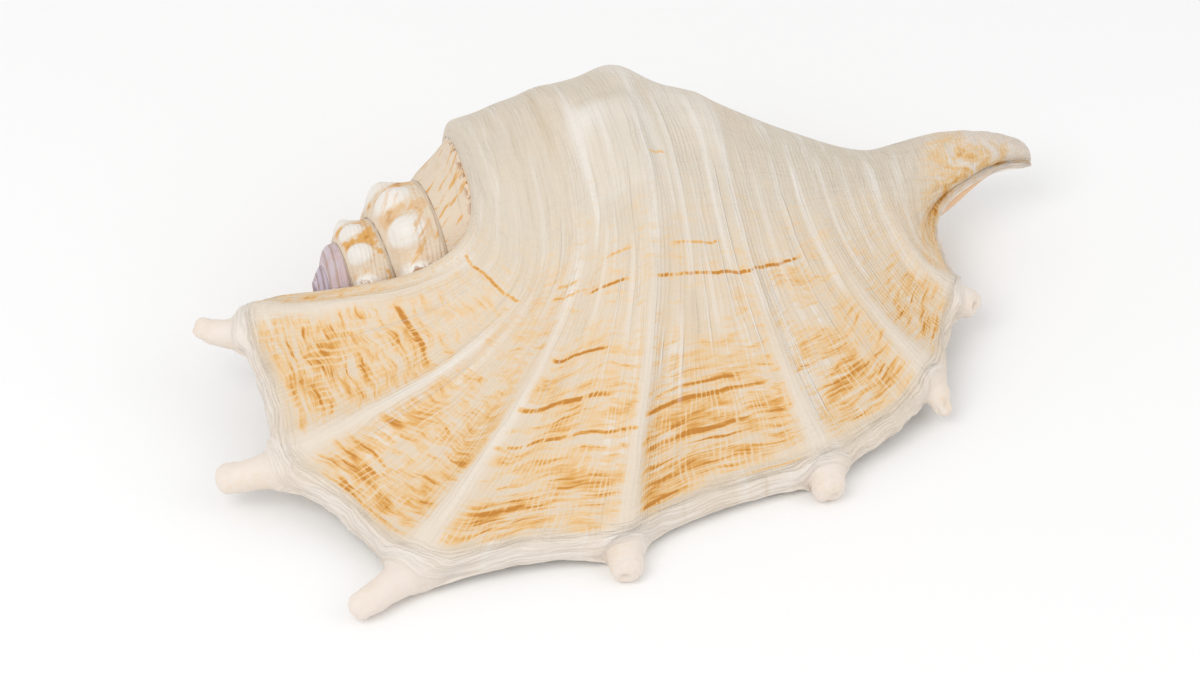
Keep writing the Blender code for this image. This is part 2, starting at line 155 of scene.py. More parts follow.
# The cavity: how far it reaches round the whorl at each body lane, from 0 (none) to 1 (to the far
# angle), how wide it is, and the wall over it.
CAVITY_DEPTH = (0.08, 0.12, 0.55, 1.0, 1.0, 0.95, 0.75, 0.5, 0.3, 0.25, 0.2, 0.15, 0.1)
CAVITY_FAR_ANGLE = 25
CAVITY_GAP = 15
SHALLOW_GAP = 0.25
WALL = 5
SMALL_WHORL_SHARE = 0.35

# Rows of a ring. On the wing: shares of the way from the body whorl to the lip. On the body whorl:
# shares of the way from the wing to the belly. On the columella: shares of the radius in y and of
# the belly in z. In the cavity: shares of its reach along the floor and back along the roof.
WING_STEPS = (0.9, 0.75, 0.58, 0.4, 0.2)
BODY_STEPS = (0.14, 0.3, 0.46, 0.62, 0.8, 1.0)
BELLY_ANGLE = -75
BELLY_ROWS = ((-0.45, -1.0), (-0.76, -0.82))
COLUMELLA_ROWS = ((-0.84, -0.45), (-0.74, 0.0))
FLOOR_STEPS = (0.35, 0.7)
ROOF_STEPS = (0.7, 0.35, 0.0)
LAST_OUTER_ROW = 14

# Rings: where they stand between the digits, and along the notch and the canal.
LAST_LANE = 9.0
FIRST_LANES = (0.0, 0.45)
WEB_LANES = (0.4, 0.6)
CANAL_LANES = (7.5, 8.0, 8.25, 8.5, 8.75, 9.0)
# How far apart the points are that a surface's direction is read from, in lanes and in shares.
NEAR_LANE = 0.15
NEAR_STEP = 0.04

# Along the canal the cavity narrows to a slit: how far in each inner row lies, and on which side.
SLIT_LANES = (0, 7, 7.5, 8, 8.5, 9)
SLIT_SHARE = (0, 0, 0, 0.35, 1, 1)
SLIT_HALF_WIDTH = 0.5
SLIT_REACH = 0.85
SLIT_ROWS = (
    *((share, -1) for share in (0.2, 0.45, 0.65, 0.85)),
    (1.0, 0),
    *((share, 1) for share in (0.9, 0.78, 0.66, 0.54, 0.42, 0.3, 0.2, 0.1)),
)

# How far the ribs reach: rows count the points of a ring from the lip's edge, 7 is where the wing
# leaves the body, and each share is of the rib's full height.
RIB_ROWS = (0.0, 0.8, 2.0, 5.0, 7.0, 9.0)
RIB_SHARE = (0.0, 0.85, 1.0, 0.5, 0.18, 0.0)
# Knobs: lane, row, height, half width in lanes and in rows, and how square they are (2 is round).
KNOBS = (
    (4.2, 9.7, 4.4, 0.34, 0.75, 2),
    (3.72, 7.8, 2.3, 0.43, 0.75, 8),
    (5.0, 8.7, 1.8, 0.22, 0.8, 2),
    (4.9, 7.9, 1.6, 0.2, 0.7, 2),
    (3.0, 9.2, 1.2, 0.3, 0.8, 2),
    (2.0, 9.2, 0.8, 0.4, 0.8, 2),
    (0.8, 9.4, 1.6, 0.5, 0.8, 2),
)

# The spire. Sutures are counted from the apex; each has a station and a radius at SUTURE_ANGLE.
SPIRE_STATIONS = (-84, -43, -20)
SPIRE_Y = (51, 55, 55)
SPIRE_Z = (32, 36, 36)
SUTURE_ANGLE = 48
SUTURES = (0, 1, 2, 3, 4, 5, 6)
SUTURE_STATION = (-84, -80.5, -75, -63.5, -46, -31, -21)
SUTURE_RADIUS = (0.5, 5.5, 11.5, 16, 23.3, 36, 39)
SPIRE_END = 5.4
# The strip runs on for this many turns, pinched to the axis, so that it closes.
CLOSING_TURNS = 1.2
# Between these two sutures the stepped whorls with knobs turn into a plain slope up to the body.
STEEP_SUTURES = (3.2, 4.1)
# How square the whorls' shoulders are, by powers: two sutures and the power at each.
SHOULDERS = ((0.5, 2.0), (1.3, 6.0))
# Knobs grow in between two sutures, to this share of the spire's radius.
KNOBS_PER_WHORL = 10
KNOBS_START = (1, 2)
KNOB_SHARE = 0.15
# A knob is highest nearer to the suture before it, and the last whorl rises ever more steeply.
KNOB_SKEW = 0.62
RAMP_POWER = 1.35
ROWS_PER_WHORL = 14

# Where a mesh is cut off below: the spire stays clear of the ground, and the cage isn't cut.
SPIRE_LOWEST = 1.0
BELOW_ALL = -100.0
# Points nearer to each other than this are one.
SAME_PLACE = 0.01

# Threads: their spacing on the body whorl, and the spacing at which new ones come in between.
THREAD_SPACING = 1.35
THREAD_WANTED = 1.7
THREADS_PER_WHORL = 10
# How often the threads' spacing may halve.
THREAD_OCTAVES = 3

# How far the lip has grown since each row of a ring was the lip's edge, in millimetres. The rows are
# the shell's growth lines, so this is the same in every lane.
GROWN_ROWS = (0, 1, 2, 3, 4, 5, 6, 7, 8, 9, 10, 11, 12, 13, 14)
GROWN = (0, 4, 12, 26, 41, 57, 75, 95, 118, 144, 171, 198, 228, 260, 290)

# Growth lines that show dark: row, first and last lane, half width in millimetres, and depth. Their
# soft sides make them narrower than that, so each is drawn this much wider.
DARK_LINES_WIDER = 1.6
DARK_LINES = (
    (5.92, 0.75, 2.1, 0.55, 0.6),
    (5.86, 2.6, 3.4, 0.35, 0.4),
    (5.80, 3.15, 3.75, 0.4, 0.8),
    (5.76, 4.0, 5.65, 0.45, 0.85),
    (6.22, 4.22, 4.8, 0.4, 0.5),
    (7.55, 4.05, 4.4, 0.45, 0.4),
    (6.05, 2.6, 3.1, 0.45, 0.4),
    (6.25, 3.3, 3.8, 0.4, 0.4),
    (4.89, 3.08, 3.66, 0.35, 0.9),
    (4.20, 3.0, 3.75, 0.5, 0.8),
    (3.64, 3.0, 4.05, 0.4, 0.6),
    (4.35, 1.1, 1.75, 0.7, 0.8),
    (3.82, 4.0, 4.85, 0.5, 0.7),
    (4.05, 4.1, 4.7, 0.35, 0.5),
    (3.15, 4.1, 4.7, 0.7, 0.7),
    (2.45, 3.1, 3.5, 0.7, 0.6),
    (1.75, 4.08, 4.4, 0.5, 0.8),
    (1.55, 2.2, 2.8, 0.4, 0.4),
    (1.45, 4.5, 4.9, 0.4, 0.5),
    (3.3, 2.1, 2.35, 1.1, 0.6),
)
# Threads that stand out white: lane, first and last row, half width in lanes, and how white.
CORDS = (
    (5.09, 2.2, 6.6, 0.010, 0.8),
    (5.17, 2.4, 6.2, 0.012, 0.8),
    (5.3, 3.0, 6.0, 0.008, 0.5),
    (4.17, 4.1, 5.2, 0.016, 0.9),
    (4.33, 3.6, 5.4, 0.020, 0.7),
    (4.52, 4.3, 6.4, 0.012, 0.5),
    (4.72, 4.4, 6.8, 0.012, 0.5),
    (4.86, 4.2, 7.6, 0.016, 0.7),
    (5.55, 4.0, 7.5, 0.010, 0.5),
    (6.12, 3.4, 7.0, 0.014, 0.6),
    (6.3, 4.0, 8.0, 0.012, 0.5),
    (3.2, 3.9, 5.4, 0.012, 0.5),
    (3.62, 4.2, 6.2, 0.012, 0.5),
    (2.16, 2.6, 5.0, 0.010, 0.5),
    (1.34, 3.4, 6.0, 0.010, 0.4),
    (4.42, 5.4, 8.9, 0.05, 0.55),
    (4.58, 4.6, 7.4, 0.03, 0.45),
    (4.8, 5.6, 8.8, 0.06, 0.6),
    (5.02, 4.8, 8.0, 0.05, 0.6),
    (5.36, 5.0, 7.6, 0.05, 0.45),
    (5.62, 5.2, 8.0, 0.04, 0.5),
    (5.86, 4.6, 7.8, 0.06, 0.6),
    (6.2, 4.4, 8.2, 0.05, 0.6),
    (6.5, 4.8, 8.4, 0.06, 0.45),
    (6.85, 3.0, 8.0, 0.08, 0.5),
    (7.3, 3.0, 8.4, 0.08, 0.5),
    (2.2, 6.2, 8.4, 0.09, 0.4),
    (2.62, 5.6, 7.4, 0.05, 0.35),
    (3.4, 5.0, 7.0, 0.05, 0.4),
    (3.75, 4.6, 6.6, 0.04, 0.4),
)
# Bumps and, with a minus, dents: x, y, z of their middle, reach and height.
LUMPS = (
    (-104, 37, 38, 7, 1.8),
    (-13.2, -79, 5, 1.8, -3.6),
    (-9, -79.5, 6, 2.4, -0.1),
    (-15.8, -77.5, 4, 2.0, 0.1),
    (-128, -11, 12, 3.5, -0.4),
    (60, -62.5, 5, 2.6, -2.8),
    (55.5, -60.5, 3, 2.0, 0.8),
    (130.3, 0.3, 17.5, 1.8, -3.4),
    (131, 5, 17, 2.2, 0.7),
    (107.5, -36.5, 12, 2.4, -1.6),
    (103, -37, 9, 2.2, -1.0),
    (-127, 44, 33, 2.4, -1.6),
    (-127, 38, 28, 2.4, -1.2),
    (140, 36, 37, 3.5, 1.2),
)
# How dense the stains are in each web, along the rows, and half the width that a rib keeps clean.
STAIN_WEBS = (0.0, 0.5, 1.5, 2.5, 3.5, 4.5, 5.5, 6.5, 7.5, 8.0, 9.0)
STAIN_IN_WEB = (0.5, 0.7, 1.0, 0.95, 1.0, 1.0, 0.9, 0.85, 0.5, 0.8, 0.5)
STAIN_ROWS = (1.05, 1.75, 3.4, 4.6, 5.6, 6.8, 8.5)
STAIN_IN_ROW = (0.0, 1.0, 0.92, 0.55, 0.38, 0.2, 0.0)
RIB_CLEAN_ROWS = (1.0, 2.2, 3.6, 5.0)
RIB_CLEAN = (0.19, 0.13, 0.085, 0.06)
RIB_CLEAN_LAST_ROW = 5
STAIN_ON_DIGITS = 0.16
# Where they are denser or, with a minus, thinner: lane, row, half width in lanes and in rows, how much.
STAIN_PATCHES = (
    (4.4, 5.2, 0.3, 0.5, -0.25),
    (4.2, 3.0, 0.15, 0.3, 0.3),
    (4.15, 1.9, 0.12, 0.5, 0.4),
    (4.3, 2.9, 0.4, 0.6, 0.2),
    (3.3, 2.0, 0.25, 0.4, 0.3),
    (3.5, 3.2, 0.35, 0.3, -0.25),
    (2.3, 2.2, 0.2, 0.4, 0.3),
    (2.5, 3.1, 0.25, 0.25, -0.4),
    (1.2, 2.3, 0.15, 0.8, 0.25),
    (1.6, 2.6, 0.2, 0.5, 0.2),
    (1.6, 1.5, 0.3, 0.4, -0.5),
    (5.35, 3.4, 0.3, 0.5, 0.25),
    (5.4, 5.6, 0.3, 0.3, 0.35),
    (6.4, 3.2, 0.3, 1.0, 0.2),
    (5.7, 1.6, 0.25, 0.4, -0.4),
    (2.5, 6.2, 0.3, 0.6, 0.15),
    (4.72, 1.5, 0.25, 0.45, -0.9),
    (5.4, 1.35, 0.35, 0.4, -0.7),
    (3.4, 1.25, 0.3, 0.3, -0.6),
    (4.2, 2.4, 0.15, 0.5, 0.25),
    (5.75, 2.6, 0.15, 0.6, 0.25),
    (8.3, 7.6, 0.5, 2.5, 0.6),
    (8.2, 3.0, 0.5, 3.0, 0.9),
)
# Where the shell shows whiter: lane, row, half width in lanes and in rows, how much.
PALE_PATCHES = (
    (2.95, 6.1, 0.12, 0.7, 0.8),
    (3.2, 7.9, 0.15, 0.7, 0.6),
    (3.45, 8.3, 0.3, 0.25, 0.6),
    (3.6, 7.1, 0.3, 0.12, 0.5),
    (4.22, 7.9, 0.09, 1.0, 0.7),
    (4.03, 6.5, 0.10, 0.6, 0.6),
    (4.05, 4.9, 0.10, 0.8, 0.6),
    (4.27, 4.6, 0.05, 0.5, 0.6),
    (5.15, 4.2, 0.06, 1.2, 0.5),
    (3.05, 4.4, 0.07, 0.8, 0.4),
    (0.75, 5.7, 0.35, 0.5, 0.7),
    (2.0, 4.6, 0.10, 1.2, 0.3),
    (4.65, 8.6, 0.2, 0.9, 0.5),
)
# How far the dark flecks reach from the last suture, in millimetres.
SEAM_REACH = 1.6

# The studio, in metres: the floor, and where the lights stand and how wide they are.
FLOOR_HALF_WIDTH = 6.0
PAPER_ROUGHNESS = 0.9
KEY_PLACE = (-0.7, -0.5, 1.1)
KEY_SIZE = 0.9
FILL_PLACE = (0.9, -0.6, 0.9)
FILL_SIZE = 1.0

# What each point tells the relief and the finish: where it is in lanes and rows, whether it is on the
# inner face, how far the lip has grown since, its spiral thread and how often finer ones have come in,
# how far out on a digit it is, the suture before it and how near one is, its knob, and its relief.
FLOATS_KEPT = ("lane", "row", "inner", "grown", "thread", "octave", "tip", "whorl", "edge", "knob", "rise")
OFF_SPIRE = -1.0
SPIRE_ROW = 8.0


def through(knots, values, at):
    """Reads a smooth curve through the values at the knots, at one place."""
    knots = np.asarray(knots, float)
    values = np.asarray(values, float)
    slopes = np.gradient(values, knots, axis=0)
    i = int(np.clip(np.searchsorted(knots, at) - 1, 0, len(knots) - 2))
    span = knots[i + 1] - knots[i]
    t = (at - knots[i]) / span
    return hermite(values[i], slopes[i] * span, values[i + 1], slopes[i + 1] * span, t)


def hermite(start, start_slope, end, end_slope, t):
    """A cubic from start to end with the given slopes at its ends."""
    return (
        start * (1 + 2 * t) * (1 - t) ** 2
        + start_slope * t * (1 - t) ** 2
        + end * t * t * (3 - 2 * t)
        - end_slope * t * t * (1 - t)
    )


def body(values, lane):
    return through(BODY_LANES, values, lane)


def lip_edge(lane):
    table = np.array(LIP, float)
    return through(table[:, 0], table[:, 1:], lane)


def lip_heading(lane):
    angle = math.radians(through(HEADING_LANES, HEADING, lane))
    return np.array([math.cos(angle), math.sin(angle), 0.0])


def lip_thickness(lane):
    return through(LIP_THICKNESS_LANES, LIP_THICKNESS, lane)


def body_point(lane, angle, inward=0.0):
    """A point of the body whorl at a lane and an angle, some way inside its surface."""
    a = math.radians(angle)
    radius = body(BODY_RADIUS, lane) - inward
    belly = body(BODY_BELLY, lane) - inward
    height = radius if math.sin(a) > 0 else belly
    return np.array(
        [
            body(BODY_X, lane),
            body(BODY_Y, lane) + radius * math.cos(a),
            body(BODY_Z, lane) + height * math.sin(a),
        ]
    )


def columella_point(lane, across, down):
    """A point beside the aperture, in shares of the whorl's radius and of its belly."""
    return np.array(
        [
            body(BODY_X, lane),
            body(BODY_Y, lane) + across * body(BODY_RADIUS, lane),
            body(BODY_Z, lane) + down * body(BODY_BELLY, lane),
        ]
    )


def wing_top(lane, t):
    """A point of the wing's upper face: t is 0 where it leaves the body whorl and 1 at the lip."""
    leaves = body(WING_LEAVES, lane)
    a = math.radians(leaves)
    along_start = np.array([0.0, -math.sin(a), math.cos(a)])
    thickness = lip_thickness(lane)
    out = lip_heading(lane)
    end = lip_edge(lane) - out * LIP_TOP_BACK * thickness + np.array([0, 0, thickness / 2])
    slope = math.radians(through(HEADING_LANES, LIP_SLOPE, lane))
    along_end = out * math.cos(slope) + np.array([0, 0, math.sin(slope)])
    start_pull = through(HEADING_LANES, START_PULL, lane)
    end_pull = through(HEADING_LANES, END_PULL, lane)
    start = body_point(lane, leaves)
    return hermite(start, along_start * start_pull, end, along_end * end_pull, t)


def near_lanes(lane):
    """The lanes just beside a lane and just before it."""
    return min(LAST_LANE, lane + NEAR_LANE), max(0.0, lane - NEAR_LANE)


def wing_normal(lane, t):
    """The outward normal of the wing's upper face."""
    beside, before = near_lanes(lane)
    across = wing_top(beside, t) - wing_top(before, t)
    along = wing_top(lane, min(1.0, t + NEAR_STEP)) - wing_top(lane, max(0.0, t - NEAR_STEP))
    normal = np.cross(along, across)
    return normal / np.linalg.norm(normal)


def cavity(lane, mouth):
    """The inner points of a ring, from the columella into the cavity and out under the wing."""
    leaves = body(WING_LEAVES, lane)
    depth = body(CAVITY_DEPTH, lane)
    radius = body(BODY_RADIUS, lane)
    wall = min(WALL, radius * SMALL_WHORL_SHARE)
    gap = CAVITY_GAP * (SHALLOW_GAP + (1 - SHALLOW_GAP) * depth)
    gap = min(gap, radius * SMALL_WHORL_SHARE)
    reach = (CAVITY_FAR_ANGLE - leaves) * depth

    points = [columella_point(lane, across, down) for across, down in COLUMELLA_ROWS]
    points += [body_point(lane, leaves + reach * step, wall + gap) for step in FLOOR_STEPS]
    points.append(body_point(lane, leaves + reach, wall + gap / 2))
    points += [body_point(lane, leaves + reach * step, wall) for step in ROOF_STEPS]
    behind_lip = lip_thickness(lane) * BEHIND_LIP
    for t in reversed(WING_STEPS):
        here = wall + (behind_lip - wall) * t
        points.append(wing_top(lane, t) - wing_normal(lane, t) * here)

    slit_share = through(SLIT_LANES, SLIT_SHARE, lane)
    inwards = (columella_point(lane, 0, 0) - mouth) * SLIT_REACH
    sideways = np.array([0.0, -inwards[2], inwards[1]])
    sideways *= SLIT_HALF_WIDTH / np.linalg.norm(sideways)
    for k, (share, side) in enumerate(SLIT_ROWS):
        slit = mouth + inwards * share + sideways * side
        points[k] = points[k] * (1 - slit_share) + slit * slit_share
    return points


def ring(lane):
    """The control points of one spiral line, all the way round the section of the shell."""
    edge = lip_edge(lane)
    thickness = lip_thickness(lane)
    leaves = body(WING_LEAVES, lane)
    points = [edge, wing_top(lane, 1.0)]
    points += [wing_top(lane, t) for t in WING_STEPS]
    points.append(body_point(lane, leaves))
    points += [body_point(lane, leaves + (BELLY_ANGLE - leaves) * step) for step in BODY_STEPS]
    points += [columella_point(lane, across, down) for across, down in BELLY_ROWS]
    points += cavity(lane, (points[-1] + edge) / 2)
    back = lip_heading(lane) * LIP_UNDER_BACK * thickness
    points.append(edge - back - np.array([0, 0, thickness / 2]))
    return points


def lane_places():
    """Where the rings stand: three to a digit, two to a web, and six along the notch and canal."""
    found = list(FIRST_LANES)
    for digit in range(1, len(DIGITS) + 1):
        found += [digit - DIGIT_HALF_LANE, digit, digit + DIGIT_HALF_LANE]
        if digit < len(DIGITS):
            found += [digit + share for share in WEB_LANES]
    return found + list(CANAL_LANES)


def all_marks(**known):
    """A point's marks: those given, and 0 for the others."""
    return {**dict.fromkeys(FLOATS_KEPT, 0.0), **known}


def ring_marks(lane):
    """What each point of a ring tells the relief and the finish, beside its place.

    The row is counted from the lip's edge on both faces, and inner is 0 outside and 1 inside. Grown
    is how far the lip has moved on since, in millimetres. The thread counts the spiral threads from
    one side of the shell to the other, and the octave is how often new ones have come in between.
    """
    points = ring(lane)
    rows = len(points)
    lane_beside, lane_before = near_lanes(lane)
    beside, before = ring(lane_beside), ring(lane_before)
    threads = (body(BODY_X, lane_beside) - body(BODY_X, lane_before)) / THREAD_SPACING
    marks = []
    for row in range(rows):
        inside = row > LAST_OUTER_ROW
        counted = (rows - row) * LAST_OUTER_ROW / (rows - LAST_OUTER_ROW - 1) if inside else row
        spacing = np.linalg.norm(beside[row] - before[row]) / max(threads, 0.1)
        marks.append(
            all_marks(
                lane=lane,
                row=counted,
                inner=1.0 if inside else 0.0,
                grown=float(np.interp(counted, GROWN_ROWS, GROWN)),
                thread=body(BODY_X, lane) / THREAD_SPACING,
                octave=max(0.0, math.log2(spacing / THREAD_WANTED)),
                whorl=OFF_SPIRE,
            )
        )
    return marks


def mark(vert, layers, marks):
    """Writes a point's marks on it."""
    for name, layer in layers.items():
        vert[layer] = marks[name]


def add_digit(bm, layers, rim, digit):
    """Draws a digit out of a rim of cage points at the lip, towards its tip."""
    lane, *tip = digit[:4]
    base_radius, tip_radius = digit[4:]
    tip = np.array(tip, float)
    base = np.mean([np.array(v.co) for v in rim], axis=0)
    bend = base + lip_heading(lane) * np.linalg.norm(tip - base) / 2
    at_lip = ring_marks(lane)[0]
    last = rim
    for s in DIGIT_STEPS:
        centre = base * (1 - s) ** 2 + bend * 2 * s * (1 - s) + tip * s * s
        along = (bend - base) * (1 - s) + (tip - bend) * s
        along /= np.linalg.norm(along)
        side = np.cross(along, [0, 0, 1])
        side /= np.linalg.norm(side)
        up = np.cross(side, along)
        radius = base_radius + (tip_radius - base_radius) * s
        fresh = []
        for k in range(DIGIT_SIDES):
            angle = 2 * math.pi * (k + 1) / DIGIT_SIDES
            spread = side * math.cos(angle) + up * math.sin(angle)
            vert = bm.verts.new(centre + spread * radius)
            mark(vert, layers, {**at_lip, "tip": s})
            fresh.append(vert)
        for k in range(DIGIT_SIDES):
            n = (k + 1) % DIGIT_SIDES
            bm.faces.new((last[k], last[n], fresh[n], fresh[k]))
        last = fresh
    crown = bm.verts.new(tip + along * tip_radius * DIGIT_CROWN)
    mark(crown, layers, {**at_lip, "tip": 1.0})
    for k in range(DIGIT_SIDES):
        bm.faces.new((last[k], last[(k + 1) % DIGIT_SIDES], crown))


def shell_cage():
    """The control cage of the wing, the body whorl, the cavity, the canal and the digits."""
    bm = bmesh.new()
    layers = {name: bm.verts.layers.float.new(name) for name in FLOATS_KEPT}
    lanes = lane_places()
    digit_columns = [lanes.index(digit[0]) for digit in DIGITS]
    grid = []
    for column, lane in enumerate(lanes):
        points = ring(lane)
        rows = len(points)
        line = []
        for row, (point, marks) in enumerate(zip(points, ring_marks(lane))):
            if row == 0 and column in digit_columns:
                line.append(None)
                continue
            vert = bm.verts.new(point)
            mark(vert, layers, marks)
            line.append(vert)
        grid.append(line)

    for here, beside in zip(grid, grid[1:]):
        for row in range(rows):
            n = (row + 1) % rows
            corners = (here[row], beside[row], beside[n], here[n])
            if None not in corners:
                bm.faces.new(corners)
    for end in (grid[0], grid[-1]):
        for i in range(rows // 2):
            corners = (end[i], end[i + 1], end[(rows - i - 1) % rows], end[(rows - i) % rows])
            bm.faces.new(dict.fromkeys(corners))
    for digit, column in zip(DIGITS, digit_columns):
        left, middle, right = grid[column - 1 : column + 2]
        rim = [left[1], middle[1], right[1], right[0], right[-1], middle[-1], left[-1], left[0]]
        add_digit(bm, layers, rim, digit)
    return bm


def spire_axis(suture):
    """The middle of the spire at a suture, counted from the apex."""
    x = through(SUTURES, SUTURE_STATION, min(max(suture, 0.0), SUTURES[-1]))
    return (x, np.interp(x, SPIRE_STATIONS, SPIRE_Y), np.interp(x, SPIRE_STATIONS, SPIRE_Z))


def whorl_place(suture, angle):
    """The suture that a point of the spire lies after, and how far it is on towards the next."""
    turn = (angle - SUTURE_ANGLE) / 360
    before = math.floor(suture - turn + SAME_PLACE / 100) + turn
    return before, max(0.0, suture - before)


def share_between(value, ends):
    """How far a value is on from the first of two ends to the second, from 0 to 1."""
    return float(np.interp(value, ends, (0, 1)))


def whorl_radii(before):
    """The spire's radius at the suture before a whorl and at the one after it."""
    after = min(SUTURES[-1], max(0.0, before + 1))
    return through(SUTURES, SUTURE_RADIUS, max(0.0, before)), through(SUTURES, SUTURE_RADIUS, after)


def spire_knob(before, place):
    """How far a point stands up on a knob of its whorl, from 0 to 1."""
    knob = 0.5 + 0.5 * math.cos(2 * math.pi * KNOBS_PER_WHORL * before)
    knob *= math.sin(math.pi * place**KNOB_SKEW) ** 2 * (1 - share_between(before, STEEP_SUTURES))
    return knob * share_between(before, KNOBS_START)


def spire_point(suture, angle):
    """A point of the spire, stepped in at each suture, with knobs on the middle of the whorls."""
    before, place = whorl_place(suture, angle)
    low, high = whorl_radii(before)
    ramp = share_between(before, STEEP_SUTURES)
    steepness = float(np.interp(before, *SHOULDERS))
    rise = (1 - (1 - place) ** steepness) * (1 - ramp) + place**RAMP_POWER * ramp
    radius = (low + (high - low) * rise) * (1 + KNOB_SHARE * spire_knob(before, place))
    a = math.radians(angle)
    x, y, z = spire_axis(suture)
    return (x, y + radius * math.cos(a), z + radius * math.sin(a))


def spire_marks(suture, angle):
    """What a point of the spire tells the finish, beside its place."""
    before, place = whorl_place(suture, angle)
    low, high = whorl_radii(before)
    return all_marks(
        row=SPIRE_ROW,
        grown=math.radians(angle) * (low + high) / 2,
        thread=suture * THREADS_PER_WHORL,
        whorl=before,
        edge=min(place, 1 - place),
        knob=spire_knob(before, place),
    )


def spire_mesh(sides):
    """The spire as a strip wound along its sutures, pinched shut at the apex and inside the body."""
    bm = bmesh.new()
    layers = {name: bm.verts.layers.float.new(name) for name in FLOATS_KEPT}
    strip = []
    for row in range(-ROWS_PER_WHORL, int((SPIRE_END + CLOSING_TURNS) * ROWS_PER_WHORL)):
        line = []
        for side in range(sides):
            share = side / sides
            suture = row / ROWS_PER_WHORL + share
            angle = SUTURE_ANGLE + 360 * share
            if 0 < suture < SPIRE_END:
                place = spire_point(suture, angle)
            else:
                place = spire_axis(min(suture, SPIRE_END))
            vert = bm.verts.new(place)
            mark(vert, layers, spire_marks(suture, angle))
            line.append(vert)
        strip.append(line)
    for here, beside in zip(strip, strip[1:]):
        for k in range(sides - 1):
            bm.faces.new((here[k], here[k + 1], beside[k + 1], beside[k]))
    wound_on = strip[ROWS_PER_WHORL:]
    for here, beside, start, start_beside in zip(strip, strip[1:], wound_on, wound_on[1:]):
        bm.faces.new((start[0], start_beside[0], beside[-1], here[-1]))
    return bm


def placed(name, data):
    """Puts a mesh, a light or a camera in the scene as an object."""
    obj = bpy.data.objects.new(name, data)
    bpy.context.scene.collection.objects.link(obj)
    return obj


def to_object(bm, name, lowest):
    """Turns a mesh in table millimetres into an object in metres over the outline's middle."""
    bmesh.ops.remove_doubles(bm, verts=bm.verts, dist=SAME_PLACE)
    bmesh.ops.recalc_face_normals(bm, faces=bm.faces)
    for v in bm.verts:
        v.co.x = (v.co.x - OUTLINE_MIDDLE[0]) * MM
        v.co.y = (v.co.y - OUTLINE_MIDDLE[1]) * MM
        v.co.z = max(v.co.z - WORN_BY, lowest) * MM
    mesh = bpy.data.meshes.new(name)
    bm.to_mesh(mesh)
    bm.free()
    return placed(name, mesh)


def to_plain_mesh(obj):
    """Replaces an object's mesh by what its modifiers make of it, and removes them."""
    made = obj.evaluated_get(bpy.context.evaluated_depsgraph_get())
    mesh = bpy.data.meshes.new_from_object(made)
    obj.modifiers.clear()
    old = obj.data
    obj.data = mesh
    bpy.data.meshes.remove(old)


# Node trees.

NODES_IN_COLUMN = 10
NODE_SPACING = (200, 170)


class Nodes:
    """Adds nodes to one tree. Each method but add gives the new node's output."""

    def __init__(self, tree):
        self.tree = tree

    def add(self, kind, inputs=None, **settings):
        """Adds a node, sets it, and wires or fills its inputs by name or number."""
        node = self.tree.nodes.new(kind)
        column, place = divmod(len(self.tree.nodes), NODES_IN_COLUMN)
        node.location = (column * NODE_SPACING[0], -place * NODE_SPACING[1])
        for name, value in settings.items():
            setattr(node, name, value)
        for key, value in (inputs or {}).items():
            socket = node.inputs[key]
            if isinstance(value, bpy.types.NodeSocket):
                self.tree.links.new(value, socket)
            else:
                socket.default_value = value
        return node

    def math(self, operation, *values):
        return self.add("ShaderNodeMath", dict(enumerate(values)), operation=operation).outputs[0]

    def times(self, first, *others):
        for other in others:
            first = self.math("MULTIPLY", first, other)
        return first

    def plus(self, first, *others):
        for other in others:
            first = self.math("ADD", first, other)
        return first

    def minus(self, first, second):
        return self.math("SUBTRACT", first, second)

    def over(self, first, second):
        return self.math("DIVIDE", first, second)

    def scaled(self, value, factor, offset):
        return self.math("MULTIPLY_ADD", value, factor, offset)

    def centred(self, value):
        """Turns 0 to 1 into -0.5 to 0.5."""
        return self.minus(value, 0.5)

    def held(self, value, low=0.0, high=1.0):
        return self.add("ShaderNodeClamp", {"Value": value, "Min": low, "Max": high}).outputs[0]

    def fade(self, value, start, end, low=0.0, high=1.0):
        """Goes smoothly from low to high as the value goes from start to end."""
        wired = {"Value": value, "From Min": start, "From Max": end, "To Min": low, "To Max": high}
        return self.add("ShaderNodeMapRange", wired, interpolation_type="SMOOTHSTEP").outputs["Result"]

    def spot(self, value, middle, half):
        """A round bump, 1 where the value is at the middle and falling off over the half width."""
        away = self.over(self.minus(value, middle), half)
        return self.math("EXPONENT", self.times(away, away, -1.0))

    def vector(self, x=0.0, y=0.0, z=0.0):
        return self.add("ShaderNodeCombineXYZ", {0: x, 1: y, 2: z}).outputs[0]

    def noise(self, place, scale=1.0, detail=2.0, roughness=0.5, distortion=0.0):
        """Noise from 0 to 1 at a place, which may be given as two or three numbers."""
        wired = {
            "Vector": self.vector(*place) if isinstance(place, tuple) else place,
            "Scale": scale,
            "Detail": detail,
            "Roughness": roughness,
            "Distortion": distortion,
        }
        return self.add("ShaderNodeTexNoise", wired).outputs[0]

    def between(self, share, first, second):
        """A number some share of the way from the first to the second."""
        return self.add("ShaderNodeMix", {0: share, 2: first, 3: second}).outputs[0]

    def mix(self, share, first, second):
        """A colour some share of the way from the first to the second."""
        return self.add("ShaderNodeMix", {0: share, 6: first, 7: second}, data_type="RGBA").outputs[2]

    def painted(self, base, *coats):
        """A colour under several others, each given with how far it covers those before it."""
        for share, shown in coats:
            base = self.mix(share, base, shown)
        return base


def colour(red, green, blue):
    """A colour given as it shows on a screen, from 0 to 255, as the light values Blender works in."""
    shown = np.array([red, green, blue]) / 255
    linear = np.where(shown > 0.04045, ((shown + 0.055) / 1.055) ** 2.4, shown / 12.92)
    return tuple(float(v) for v in linear) + (1.0,)


